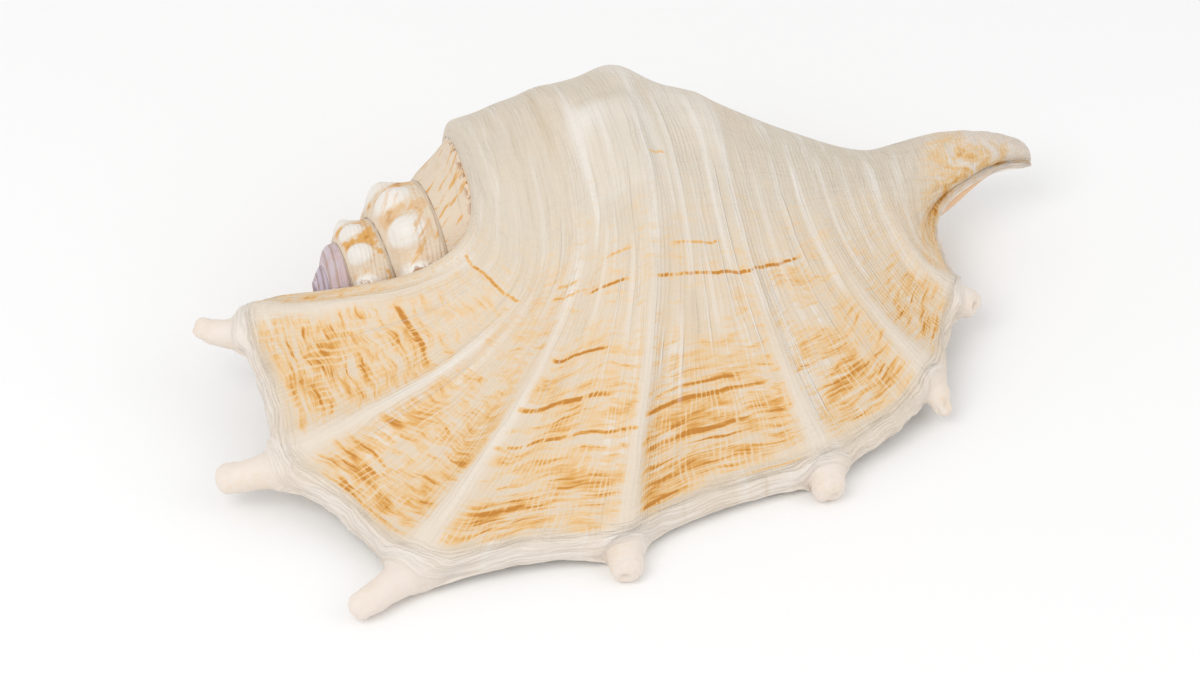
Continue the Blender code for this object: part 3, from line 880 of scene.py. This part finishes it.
def node_group(name, kind, inputs, outputs):
    """A new node group with the given sockets, and what adds nodes to it."""
    tree = bpy.data.node_groups.new(name, kind)
    for way, sockets in (("INPUT", inputs), ("OUTPUT", outputs)):
        for socket, socket_kind in sockets.items():
            tree.interface.new_socket(socket, in_out=way, socket_type=socket_kind)
    return tree, Nodes(tree)


RELIEF_INPUTS = (
    "Rib Height",
    "Rib Half Width",
    "Web Sag",
    "Wrinkle Height",
    "Wrinkle Length",
    "Tip Wear",
    "Lip Waves",
    "Seed",
)


def relief_tree(material):
    """Geometry nodes that raise the ribs, knobs and wrinkles on the rounded shell."""
    geometry = {"Geometry": "NodeSocketGeometry"}
    inputs = {**geometry, **dict.fromkeys(RELIEF_INPUTS, "NodeSocketFloat")}
    tree, n = node_group("shell relief", "GeometryNodeTree", inputs, geometry)
    given = n.add("NodeGroupInput").outputs

    def mark_of(name):
        node = n.add("GeometryNodeInputNamedAttribute", {"Name": name}, data_type="FLOAT")
        return node.outputs["Attribute"]

    lane, row, inner, grown, thread, tip = map(mark_of, ("lane", "row", "inner", "grown", "thread", "tip"))

    # Ribs run to the digits, and the webs between them sag. Both die out up the wing.
    last_digit = float(len(DIGITS))
    nearest = n.math("MINIMUM", n.math("MAXIMUM", n.math("ROUND", lane), 1.0), last_digit)
    wider = n.fade(row, 0.8, 3.5, 1.6, 0.9)
    rib = n.spot(lane, nearest, n.times(given["Rib Half Width"], wider))
    web = n.math("SINE", n.times(n.held(lane, 1.0, last_digit), math.pi))
    reach = n.add("ShaderNodeFloatCurve", {"Value": n.over(row, RIB_ROWS[-1])})
    curve = reach.mapping.curves[0]
    for at, share in zip(RIB_ROWS[1:-1], RIB_SHARE[1:-1]):
        curve.points.new(at / RIB_ROWS[-1], share)
    curve.points[0].location = (0.0, RIB_SHARE[0])
    curve.points[-1].location = (1.0, RIB_SHARE[-1])
    for point in curve.points:
        point.handle_type = "VECTOR"
    reach.mapping.update()
    raised = n.minus(n.times(rib, given["Rib Height"]), n.times(n.times(web, web), given["Web Sag"]))
    height = n.times(raised, reach.outputs[0])

    def from_knob(value, middle, half, squareness):
        away = n.math("ABSOLUTE", n.over(n.minus(value, middle), half))
        return n.math("POWER", away, float(squareness))

    for knob_lane, knob_row, rise, half_lane, half_row, squareness in KNOBS:
        across = from_knob(lane, knob_lane, half_lane, squareness)
        along = from_knob(row, knob_row, half_row, squareness)
        knob = n.math("EXPONENT", n.times(n.plus(across, along), -1.0))
        height = n.plus(height, n.times(knob, rise * MM))

    # Wrinkles follow the growth lines: long across the lanes and short along them. The canal has
    # folds in their place, and the digits' ends have pits.
    where = n.add("GeometryNodeInputPosition").outputs[0]
    spread = n.over(1.0, given["Wrinkle Length"])
    wrinkle_place = (n.times(thread, 0.12), grown, given["Seed"])
    wrinkle = n.centred(n.noise(wrinkle_place, spread, detail=3.0, roughness=0.6))
    squeezed = n.add("ShaderNodeVectorMath", {0: where, 1: (1.0, 0.3, 0.3)}, operation="MULTIPLY")
    folds = n.centred(n.noise(squeezed.outputs[0], 230.0, detail=3.0))
    canal = n.fade(lane, 8.0, 8.5)
    wrinkle = n.plus(n.times(wrinkle, n.minus(1.0, canal)), n.times(folds, canal, 1.6))
    wrinkle = n.times(wrinkle, given["Wrinkle Height"])
    pits = n.centred(n.noise(where, 260.0, detail=2.0))
    wear = n.times(n.fade(tip, 0.2, 1.0), given["Tip Wear"])
    wrinkle = n.plus(wrinkle, n.times(pits, wear))
    height = n.times(n.plus(height, wrinkle), n.minus(1.0, inner))

    lip_place = (n.times(lane, 6.0), n.times(row, 0.8), given["Seed"])
    waves = n.centred(n.noise(lip_place, detail=3.0, roughness=0.6))
    height = n.plus(height, n.times(waves, n.fade(row, 2.5, 0.3), given["Lip Waves"]))
    for x, y, z, lump_reach, rise in LUMPS:
        middle = ((x - OUTLINE_MIDDLE[0]) * MM, (y - OUTLINE_MIDDLE[1]) * MM, (z - WORN_BY) * MM)
        apart = n.add("ShaderNodeVectorMath", {0: where, 1: middle}, operation="DISTANCE")
        lump = n.spot(apart.outputs["Value"], 0.0, lump_reach * MM)
        height = n.plus(height, n.times(lump, rise * MM))

    # Points move out by the height, and stop at the ground.
    normal = n.add("GeometryNodeInputNormal").outputs[0]
    offset = n.add("ShaderNodeVectorMath", {0: normal, "Scale": height}, operation="SCALE").outputs[0]
    moved = n.add("GeometryNodeSetPosition", {"Geometry": given["Geometry"], "Offset": offset})
    now = n.add("GeometryNodeInputPosition").outputs[0]
    x, y, z = n.add("ShaderNodeSeparateXYZ", {0: now}).outputs
    grounded = n.vector(x, y, n.math("MAXIMUM", z, 0.0))
    flat = n.add("GeometryNodeSetPosition", {"Geometry": moved.outputs[0], "Position": grounded})
    kept = n.add(
        "GeometryNodeStoreNamedAttribute",
        {"Geometry": flat.outputs[0], "Name": "rise", "Value": height},
        data_type="FLOAT",
        domain="POINT",
    )
    real = n.add("GeometryNodeRealizeInstances", {"Geometry": kept.outputs[0]})
    dressed = n.add("GeometryNodeSetMaterial", {"Geometry": real.outputs[0], "Material": material})
    n.add("NodeGroupOutput", {"Geometry": dressed.outputs[0]})
    return tree


def set_inputs(modifier, values):
    """Sets a geometry nodes modifier's inputs by the identifier of each socket."""
    for item in modifier.node_group.interface.items_tree:
        if item.item_type == "SOCKET" and item.in_out == "INPUT" and item.name in values:
            modifier[item.identifier] = values[item.name]


LINE_INPUTS = ("Across", "Along", "At", "First", "Last", "Half Width", "Soft End", "Strength")


def line_group():
    """A node group that draws one line, with soft ends, where a value is at a place."""
    inputs = dict.fromkeys(LINE_INPUTS, "NodeSocketFloat")
    tree, n = node_group("line", "ShaderNodeTree", inputs, {"Line": "NodeSocketFloat"})
    given = n.add("NodeGroupInput").outputs
    away = n.math("ABSOLUTE", n.minus(given["Across"], given["At"]))
    line = n.fade(away, n.times(given["Half Width"], 0.3), given["Half Width"], 1.0, 0.0)
    start = n.minus(given["Along"], given["First"])
    end = n.minus(given["Last"], given["Along"])
    along = n.fade(n.math("MINIMUM", start, end), 0.0, given["Soft End"])
    n.add("NodeGroupOutput", {"Line": n.times(line, along, given["Strength"])})
    return tree


def drawn_lines(n, group, across, along, soft_end, lines):
    """The strongest of several lines, each given by its place, start, end, half width and strength."""
    strongest = None
    for at, first, last, half_width, strength in lines:
        values = (across, along, at, first, last, half_width, soft_end, strength)
        line = n.add("ShaderNodeGroup", dict(zip(LINE_INPUTS, values)), node_tree=group).outputs[0]
        strongest = line if strongest is None else n.math("MAXIMUM", strongest, line)
    return strongest


def shell_material(finish):
    """Porcelain-like shell: threads, growth lines and ochre stains laid along the lanes."""
    material = bpy.data.materials.new("shell")
    material.use_nodes = True
    material.node_tree.nodes.clear()
    n = Nodes(material.node_tree)

    def mark_of(name):
        return n.add("ShaderNodeAttribute", attribute_name=name).outputs["Fac"]

    lane, row, inner, grown = map(mark_of, ("lane", "row", "inner", "grown"))
    thread, octave, tip, rise = map(mark_of, ("thread", "octave", "tip", "rise"))
    whorl, edge, knob, spire = map(mark_of, ("whorl", "edge", "knob", "spire"))
    stain_here, pale_here, rosy, seam = map(mark_of, ("stain", "pale", "rosy", "seam"))
    where = n.add("ShaderNodeTexCoord").outputs["Object"]
    outside = n.fade(inner, 0.1, 0.5, 1.0, 0.0)
    not_spire = n.minus(1.0, spire)

    # Spiral threads, which waver a little, with finer ones between them where they spread.
    waver = n.centred(n.noise((n.times(thread, 0.25), n.times(grown, 0.05)), detail=3.0))
    phase = n.scaled(waver, finish.waver, thread)
    parts = []
    for k in range(THREAD_OCTAVES):
        wave = n.math("COSINE", n.times(phase, 2 * math.pi * 2**k))
        apart = n.math("ABSOLUTE", n.minus(octave, float(k)))
        parts.append(n.times(wave, n.math("MAXIMUM", n.minus(1.0, apart), 0.0)))
    ridges = n.plus(*parts)
    uneven = n.noise((n.times(thread, 0.8), n.times(grown, 0.04), 3.0))
    smooth_tip = n.fade(tip, 0.0, 0.6, 1.0, 0.0)
    lattice = n.times(n.fade(row, 0.6, 1.6, 0.2, 1.0), smooth_tip, outside)
    ridges = n.times(ridges, n.fade(uneven, 0.3, 0.7, 0.15, 1.0))
    ridges = n.times(ridges, lattice)
    # Where the threads dip: the finish below darkens these grooves as painted shade.
    groove_shade = n.scaled(ridges, -0.5, 0.5)

    # Broader bands between the threads, pale or greyish, and growth lines across them.
    bands = n.noise((n.times(phase, 0.42), n.times(grown, 0.012), 7.0), detail=3.0, roughness=0.65)
    bend = n.centred(n.noise((n.times(lane, 2.6), n.times(grown, 0.06))))
    bent = n.plus(grown, n.times(bend, 7.0))
    growth = n.noise((n.times(lane, 1.2), n.times(bent, 0.7), 1.0), detail=4.0, roughness=0.7)
    clouds = n.noise(where, 26.0, detail=3.0, roughness=0.55)

    # Stains lie along the growth lines: a pale wash, streaks in it and thin dark lines, all broken
    # where they cross the threads. Off the webs they are mottled.
    def along_growth(lane_share, across, seed, detail=3.0):
        place = (n.times(lane, lane_share), n.times(bent, across), seed)
        return n.centred(n.noise(place, detail=detail, roughness=0.62))

    blots = along_growth(3.0, 0.10, 5.0, detail=4.0)
    streaks = along_growth(3.6, 0.55, 9.0)
    fine = along_growth(7.0, 1.5, 2.0)
    amount = n.plus(n.plus(0.45, n.times(blots, 2.0)), n.plus(n.times(streaks, 2.1), n.times(fine, 1.2)))
    amount = n.plus(amount, n.times(n.fade(streaks, 0.10, 0.16), 0.25))
    mottle = n.noise(where, 120.0, detail=4.0, roughness=0.65, distortion=1.0)
    mottle = n.scaled(n.centred(mottle), 4.0, 0.42)
    off_web = n.math("MAXIMUM", n.fade(lane, 7.7, 8.2), n.fade(tip, 0.0, 0.4))
    amount = n.between(off_web, amount, mottle)
    cuts = n.math("COSINE", n.times(phase, 2 * math.pi))
    finer_cuts = n.math("COSINE", n.times(phase, 4 * math.pi))
    cuts = n.between(n.fade(octave, 0.3, 0.7), cuts, finer_cuts)
    patchy = n.fade(n.noise((n.times(thread, 0.5), n.times(grown, 0.12), 12.0)), 0.4, 0.62)
    beads = n.minus(1.0, n.times(n.fade(cuts, 0.0, 0.95, 0.0, 0.5), patchy))

    row_waver = n.centred(n.noise((n.times(lane, 5.0), n.times(grown, 0.03), 4.0), detail=4.0))
    group = line_group()
    growth_lines = []
    for at_row, first, last, half_width, depth in DARK_LINES:
        ahead, behind = np.interp((at_row + 0.5, at_row - 0.5), GROWN_ROWS, GROWN)
        half_rows = float(DARK_LINES_WIDER * half_width / (ahead - behind))
        growth_lines.append((at_row, first, last, half_rows, depth))
    dark = drawn_lines(n, group, n.scaled(row_waver, 0.16, row), lane, 0.12, growth_lines)
    breaks = n.noise((n.times(lane, 14.0), n.times(grown, 0.05), 8.0))
    dark = n.times(dark, n.fade(breaks, 0.3, 0.42), not_spire, outside)
    cord = n.times(drawn_lines(n, group, lane, row, 0.5, CORDS), not_spire, outside)

    # The colours, laid over each other.
    at_lip = n.times(n.fade(row, 1.7, 0.8), n.fade(lane, 7.6, 8.2, 1.0, 0.0), not_spire)
    pale = n.plus(n.times(n.fade(rise, 0.0006, 0.003), 0.4), pale_here)
    layers = n.noise((n.times(lane, 2.0), n.times(bent, 1.6), 11.0), detail=3.0, roughness=0.7)
    layers = n.times(n.fade(layers, 0.46, 0.62), n.fade(row, 2.0, 1.2), not_spire, smooth_tip)
    stained = n.times(amount, stain_here, outside, not_spire)
    stained = n.held(n.times(n.plus(stained, dark), beads))
    scale = n.add("ShaderNodeValToRGB", {"Fac": stained})
    stops = ((0.0, finish.cream), (0.38, finish.wash), (0.68, finish.ochre), (0.98, finish.umber))
    for at, _ in stops[1:-1]:
        scale.color_ramp.elements.new(at)
    for element, (at, shown) in zip(scale.color_ramp.elements, stops):
        element.position = at
        element.color = shown
    base = n.painted(
        finish.cream,
        (n.fade(row, 4.6, 7.4), finish.body),
        (at_lip, finish.lip),
        (n.times(n.fade(clouds, 0.42, 0.68, 0.0, 0.55), outside), finish.cream),
        (n.fade(bands, 0.52, 0.72, 0.0, 0.75), finish.porcelain),
        (n.fade(bands, 0.45, 0.28, 0.0, 0.45), finish.grey_and_groove_shade),
        # Painted shade: the low parts between the threads are darkened, as shade in the grooves.
        (n.times(groove_shade, lattice, n.fade(row, 4.0, 7.0, 0.32, 0.18)), finish.grey_and_groove_shade),
        (n.fade(growth, 0.5, 0.75, 0.0, 0.25), finish.grey_and_groove_shade),
        (n.times(n.held(pale), n.fade(clouds, 0.3, 0.6, 0.6, 1.0)), finish.porcelain),
        (n.times(layers, 0.32), finish.grey_and_groove_shade),
        (rosy, finish.rose),
        (n.fade(stained, 0.02, 0.34), scale.outputs["Color"]),
        (n.times(cord, 0.75), finish.porcelain),
    )

    # The spire: white knobs, ochre between them, dark flecks along the last suture, a violet apex.
    spots = n.noise(where, 170.0, detail=3.0, roughness=0.6)
    between_knobs = n.times(n.fade(knob, 0.35, 0.1), n.fade(whorl, 3.4, 2.9))
    tinted = n.times(n.fade(spots, 0.45, 0.55), between_knobs, n.fade(edge, 0.03, 0.1))
    slant_place = (n.plus(n.times(grown, 0.34), n.times(thread, 0.55)), n.times(thread, 0.22), 6.0)
    slants = n.noise(slant_place, detail=3.0, roughness=0.6)
    on_ramp = n.fade(whorl, 2.9, 3.4)
    slant = n.times(n.fade(slants, 0.57, 0.64), on_ramp)
    apex = n.times(n.fade(whorl, 1.85, 1.55), n.fade(whorl, 1.0, 0.9, 0.8, 1.0))
    arcs = n.fade(n.math("SINE", n.times(thread, 1.5)), 0.3, 0.9, 0.1, 0.8)
    crack = n.times(n.fade(edge, 0.02, 0.0), n.fade(spots, 0.4, 0.6, 0.3, 0.8), n.fade(seam, 0.6, 0.1))
    flecks = n.fade(n.noise(where, 420.0), 0.5, 0.58)
    spire_base = n.painted(
        finish.cream,
        (n.fade(knob, 0.1, 0.45), finish.porcelain),
        (n.times(tinted, 0.95), finish.ochre),
        (n.times(tinted, n.fade(spots, 0.58, 0.68)), finish.umber),
        (n.times(n.fade(slants, 0.5, 0.6), on_ramp, 0.25), finish.wash),
        (n.times(slant, 0.9), finish.ochre),
        (apex, n.mix(arcs, finish.violet, finish.dusk)),
        (crack, finish.suture),
        (n.times(seam, flecks), finish.fleck),
    )
    within = n.minus(1.0, outside)
    lining = n.mix(n.fade(grown, 30.0, 120.0), finish.lining, finish.peach)
    base = n.painted(base, (spire, spire_base), (within, lining))

    # The relief too fine for the mesh, smoothed out where the spire meets the wing.
    height = n.times(ridges, finish.thread_height / MM)
    height = n.plus(height, n.times(n.centred(bands), 0.8, lattice), n.times(n.centred(growth), 0.35))
    height = n.plus(height, n.times(layers, -0.12))
    height = n.plus(n.minus(height, n.times(dark, 0.08)), n.times(cord, 0.3))
    height = n.times(height, outside, n.minus(1.0, n.held(n.times(seam, 1.5))))
    bump = n.add("ShaderNodeBump", {"Strength": 1.0, "Distance": MM, "Height": height})
    wired = {
        "Base Color": base,
        "Roughness": n.fade(within, 0.0, 1.0, finish.roughness, finish.lining_roughness),
        "Normal": bump.outputs[0],
        "Specular IOR Level": 0.4,
    }
    shader = n.add("ShaderNodeBsdfPrincipled", wired)
    n.add("ShaderNodeOutputMaterial", {"Surface": shader.outputs[0]})
    return material


def read_attribute(mesh, name):
    values = np.zeros(len(mesh.vertices), dtype=np.float32)
    if name in mesh.attributes:
        mesh.attributes[name].data.foreach_get("value", values)
    return values


def write_attribute(mesh, name, values):
    layer = mesh.attributes.get(name) or mesh.attributes.new(name, "FLOAT", "POINT")
    layer.data.foreach_set("value", np.asarray(values, dtype=np.float32))


def vertex_places(mesh):
    places = np.zeros(len(mesh.vertices) * 3, dtype=np.float32)
    mesh.vertices.foreach_get("co", places)
    return places.reshape(-1, 3)


def place_tree(places):
    """A tree that finds the nearest of some places."""
    tree = KDTree(len(places))
    for i, place in enumerate(places):
        tree.insert(place, i)
    tree.balance()
    return tree


def remember_marks(shell, spire):
    """Keeps the marks of the two meshes with the places that they belong to."""
    kept = []
    for mesh in (shell, spire):
        marks = {name: read_attribute(mesh, name) for name in FLOATS_KEPT}
        kept.append((place_tree(vertex_places(mesh)), marks))
    return kept


def recall_marks(mesh, kept):
    """Gives the points of the joined mesh their marks back, and tells the spire's faces.

    Where the two meet there are new points, which take the marks of the spire.
    """
    (shell_tree, shell_marks), (spire_tree, spire_marks) = kept
    places = vertex_places(mesh)
    on_shell = [shell_tree.find(place) for place in places]
    on_spire = [spire_tree.find(place) for place in places]
    apart = np.array([found[2] for found in on_shell])
    from_shell = apart < SAME_PLACE * MM
    shell_index = [found[1] for found in on_shell]
    spire_index = [found[1] for found in on_spire]
    for name in FLOATS_KEPT:
        values = np.where(from_shell, shell_marks[name][shell_index], spire_marks[name][spire_index])
        write_attribute(mesh, name, values)
    old_spire = np.array([found[2] for found in on_spire]) < SAME_PLACE * MM
    layer = mesh.attributes.new("spire", "FLOAT", "FACE")
    sides = {}
    for face, value in zip(mesh.polygons, layer.data):
        value.value = float(any(old_spire[i] and not from_shell[i] for i in face.vertices))
        for key in face.edge_keys:
            sides.setdefault(key, set()).add(value.value)
    for edge in mesh.edges:
        edge.use_edge_sharp = len(sides[edge.key]) > 1


def patches(lane, row, table):
    """Soft patches added up, each given by its lane, row, half width in each and strength."""
    total = np.zeros(len(lane))
    for at_lane, at_row, half_lane, half_row, more in table:
        away = ((lane - at_lane) / half_lane) ** 2 + ((row - at_row) / half_row) ** 2
        total += more * np.exp(-away)
    return total


def paint_masks(mesh):
    """Broad masks for the finish: stained, pale and rosy parts, and the last suture."""
    names = ("lane", "row", "inner", "tip", "whorl")
    lane, row, inner, tip, whorl = (read_attribute(mesh, name) for name in names)
    spire = whorl > OFF_SPIRE / 2
    stain = np.interp(lane, STAIN_WEBS, STAIN_IN_WEB) * np.interp(row, STAIN_ROWS, STAIN_IN_ROW)
    stain += patches(lane, row, STAIN_PATCHES)
    from_rib = (lane - np.clip(np.round(lane), 1, len(DIGITS))) / np.interp(row, RIB_CLEAN_ROWS, RIB_CLEAN)
    off_rib = 1 - np.exp(-(from_rib**2))
    past = 1 - (1 - off_rib) * np.clip(RIB_CLEAN_LAST_ROW + 1 - row, 0, 1)
    off_rib = np.where(row > RIB_CLEAN_LAST_ROW, past, off_rib)
    stain = np.clip(stain, 0, 1.2) * off_rib * (1 - inner) * (1 - np.clip(tip * 4, 0, 1))
    stain += np.clip(tip * 3, 0, 1) * STAIN_ON_DIGITS
    stain[spire] = 0
    write_attribute(mesh, "stain", stain)
    write_attribute(mesh, "pale", np.where(spire, 0, patches(lane, row, PALE_PATCHES) * (1 - inner)))
    rosy = np.maximum(np.clip(tip * 1.5, 0, 1) * 0.7, np.interp(lane, (7.6, 8.4), (0, 0.6)))
    write_attribute(mesh, "rosy", np.where(spire, 0, rosy))
    places = vertex_places(mesh)
    tree = place_tree(places[~spire])
    seam = np.zeros(len(lane))
    for i in np.flatnonzero(spire):
        seam[i] = math.exp(-((tree.find(places[i])[2] / (SEAM_REACH * MM)) ** 2))
    write_attribute(mesh, "seam", seam)


def length_property(name, description, millimetres):
    return bpy.props.FloatProperty(
        name=name, description=description, default=millimetres * MM, subtype="DISTANCE", unit="LENGTH"
    )


def share_property(name, description, default, low=0.0, high=1.0):
    return bpy.props.FloatProperty(
        name=name, description=description, default=default, subtype="FACTOR", min=low, max=high
    )


def angle_property(name, description, degrees):
    return bpy.props.FloatProperty(
        name=name, description=description, default=math.radians(degrees), subtype="ANGLE"
    )


def power_property(name, description, watts):
    return bpy.props.FloatProperty(name=name, description=description, default=watts, subtype="POWER")


def colour_property(name, description, *shown):
    return bpy.props.FloatVectorProperty(
        name=name,
        description=description,
        subtype="COLOR",
        size=4,
        min=0.0,
        max=1.0,
        default=colour(*shown),
    )


class ConchForm(bpy.types.PropertyGroup):
    rib_height: length_property("Rib height", "How far a rib stands above the wing", 3.0)
    rib_half_width: share_property(
        "Rib half width", "Half a rib's width, as a share of the space between two ribs", 0.14, 0.02, 0.5
    )
    web_sag: length_property("Web sag", "How far the wing sinks between two ribs", 1.0)
    wrinkle_height: length_property(
        "Wrinkle height", "Height of the growth wrinkles, from the lowest to the highest", 0.8
    )
    wrinkle_length: bpy.props.FloatProperty(
        name="Wrinkle length",
        description="Distance between growth wrinkles, in millimetres",
        default=6.0,
        min=1.0,
    )
    tip_wear: length_property("Tip wear", "How uneven the ends of the digits are", 2.0)
    lip_waves: length_property("Lip waves", "How uneven the lip's edge is", 3.0)
    seed: bpy.props.FloatProperty(name="Seed", description="Changes the wrinkles", default=3.0)
    levels: bpy.props.IntProperty(
        name="Smooth levels", description="How often the cage is divided", default=3, min=1, max=4
    )
    spire_sides: bpy.props.IntProperty(
        name="Spire sides", description="Points round the spire", default=96, min=24, max=200
    )


class ConchFinish(bpy.types.PropertyGroup):
    cream: colour_property("Cream", "The wing between its stains", 230, 212, 189)
    body: colour_property("Body", "The body whorl's back", 221, 210, 193)
    # Greyish tone of the bands, growth lines and lip layers, and painted shade in the grooves between the
    # threads.
    grey_and_groove_shade: colour_property("Groove", "The grooves between the threads", 206, 187, 160)
    porcelain: colour_property("Porcelain", "The ribs and knobs", 239, 233, 225)
    wash: colour_property("Wash", "The pale stain round the streaks", 233, 198, 150)
    ochre: colour_property("Ochre", "Streaks", 225, 170, 92)
    umber: colour_property("Umber", "Dark lines", 199, 131, 46)
    rose: colour_property("Rose", "The digits' ends and the canal", 238, 225, 214)
    lip: colour_property("Lip", "The band behind the lip's edge", 235, 225, 215)
    violet: colour_property("Violet", "The apex", 212, 198, 214)
    dusk: colour_property("Dusk", "The apex's darker bands", 168, 144, 140)
    suture: colour_property("Suture", "The lines between the spire's whorls", 150, 112, 84)
    fleck: colour_property("Fleck", "Dark flecks along the last suture", 160, 104, 44)
    lining: colour_property("Lining", "The wing's underside near the lip", 247, 236, 222)
    peach: colour_property("Peach", "Deep in the aperture", 238, 196, 156)
    roughness: share_property("Roughness", "Roughness of the outer face", 0.5)
    lining_roughness: share_property("Lining roughness", "Roughness of the inner face", 0.22)
    waver: bpy.props.FloatProperty(
        name="Waver", description="How far the threads waver, in threads", default=2.0, min=0, max=4
    )
    thread_height: length_property("Thread height", "Height of the spiral threads", 0.1)


class ConchStudio(bpy.types.PropertyGroup):
    azimuth: angle_property("Azimuth", "Where the camera stands round the shell", -15)
    elevation: angle_property("Elevation", "The camera's angle above the floor", 42)
    distance: bpy.props.FloatProperty(
        name="Distance",
        description="From the camera to its target",
        default=0.908,
        subtype="DISTANCE",
        unit="LENGTH",
    )
    target: bpy.props.FloatVectorProperty(
        name="Target",
        description="What the camera looks at",
        default=(-0.0206, -0.0120, 0.0319),
        subtype="XYZ",
        unit="LENGTH",
    )
    lens: bpy.props.FloatProperty(name="Lens", description="Focal length, in millimetres", default=85.0)
    floor: colour_property("Floor", "The studio floor", 252, 252, 252)
    key_power: power_property("Key light", "Power of the key light", 5.0)
    fill_power: power_property("Fill light", "Power of the fill light", 1.8)
    sky: bpy.props.FloatProperty(name="Sky", description="Strength of the even light", default=0.78)


class CONCH_OT_shell(bpy.types.Operator):
    """Build the shell: the wing, the body whorl, the canal, the digits and the spire in one piece"""

    bl_idname = "conch.shell"
    bl_label = "Build shell"

    def execute(self, context):
        form, finish = context.scene.conch_form, context.scene.conch_finish
        material = shell_material(finish)
        spire = to_object(spire_mesh(form.spire_sides), "spire", SPIRE_LOWEST)
        spire.data.materials.append(material)
        shell = to_object(shell_cage(), "conch", BELOW_ALL)
        smooth = shell.modifiers.new("smooth", "SUBSURF")
        smooth.levels = smooth.render_levels = form.levels
        relief = shell.modifiers.new("relief", "NODES")
        relief.node_group = relief_tree(material)
        set_inputs(relief, {name: getattr(form, name.lower().replace(" ", "_")) for name in RELIEF_INPUTS})
        to_plain_mesh(shell)
        kept = remember_marks(shell.data, spire.data)
        join = shell.modifiers.new("spire", "BOOLEAN")
        join.operation = "UNION"
        join.solver = "EXACT"
        join.object = spire
        to_plain_mesh(shell)
        bpy.data.objects.remove(spire)
        recall_marks(shell.data, kept)
        paint_masks(shell.data)
        shell.data.shade_smooth()
        if not shell.data.polygons:
            raise RuntimeError("the shell came out empty")
        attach(shell, "root")
        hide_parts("shell")
        return {"FINISHED"}


class CONCH_OT_studio(bpy.types.Operator):
    """Set the floor, the lights and the camera round the shell"""

    bl_idname = "conch.studio"
    bl_label = "Set studio"

    def execute(self, context):
        studio = context.scene.conch_studio
        bm = bmesh.new()
        bmesh.ops.create_grid(bm, x_segments=1, y_segments=1, size=FLOOR_HALF_WIDTH)
        mesh = bpy.data.meshes.new("floor")
        bm.to_mesh(mesh)
        bm.free()
        floor = placed("floor", mesh)
        paper = bpy.data.materials.new("floor")
        paper.use_nodes = True
        principled = paper.node_tree.nodes["Principled BSDF"]
        principled.inputs["Base Color"].default_value = studio.floor
        principled.inputs["Roughness"].default_value = PAPER_ROUGHNESS
        mesh.materials.append(paper)

        def area_light(name, place, size, power):
            data = bpy.data.lights.new(name, "AREA")
            data.shape = "DISK"
            data.size = size
            data.energy = power
            lamp = placed(name, data)
            lamp.location = place
            lamp.rotation_euler = (-Vector(place)).to_track_quat("-Z", "Y").to_euler()

        area_light("key light", KEY_PLACE, KEY_SIZE, studio.key_power)
        area_light("fill light", FILL_PLACE, FILL_SIZE, studio.fill_power)

        world = bpy.data.worlds.new("studio")
        world.use_nodes = True
        background = world.node_tree.nodes["Background"]
        background.inputs["Color"].default_value = (1, 1, 1, 1)
        background.inputs["Strength"].default_value = studio.sky
        context.scene.world = world
        context.scene.view_settings.view_transform = "Standard"

        camera = placed("camera", bpy.data.cameras.new("camera"))
        camera.data.lens = studio.lens
        a, e = studio.azimuth, studio.elevation
        back = Vector((math.sin(a) * math.cos(e), -math.cos(a) * math.cos(e), math.sin(e)))
        camera.location = Vector(studio.target) + back * studio.distance
        camera.rotation_euler = (-back).to_track_quat("-Z", "Y").to_euler()
        context.scene.camera = camera
        return {"FINISHED"}


class CONCH_PT_panel(bpy.types.Panel):
    """Lists the steps that make the shell and its studio"""

    bl_label = "Spider conch"
    bl_idname = "CONCH_PT_panel"
    bl_space_type = "VIEW_3D"
    bl_region_type = "UI"
    bl_category = "Conch"

    def draw(self, context):
        layout = self.layout
        for group in (context.scene.conch_form, context.scene.conch_finish, context.scene.conch_studio):
            box = layout.box()
            for name in group.__annotations__:
                box.prop(group, name)
        layout.operator(CONCH_OT_shell.bl_idname)
        layout.operator(CONCH_OT_studio.bl_idname)


CLASSES = (ConchForm, ConchFinish, ConchStudio, CONCH_OT_shell, CONCH_OT_studio, CONCH_PT_panel)


def register():
    for cls in CLASSES:
        bpy.utils.register_class(cls)
    bpy.types.Scene.conch_form = bpy.props.PointerProperty(type=ConchForm)
    bpy.types.Scene.conch_finish = bpy.props.PointerProperty(type=ConchFinish)
    bpy.types.Scene.conch_studio = bpy.props.PointerProperty(type=ConchStudio)


def unregister():
    del bpy.types.Scene.conch_form, bpy.types.Scene.conch_finish, bpy.types.Scene.conch_studio
    for cls in reversed(CLASSES):
        bpy.utils.unregister_class(cls)


def main():
    register()
    bpy.ops.conch.shell()
    bpy.ops.conch.studio()


if __name__ == "__main__":
    main()
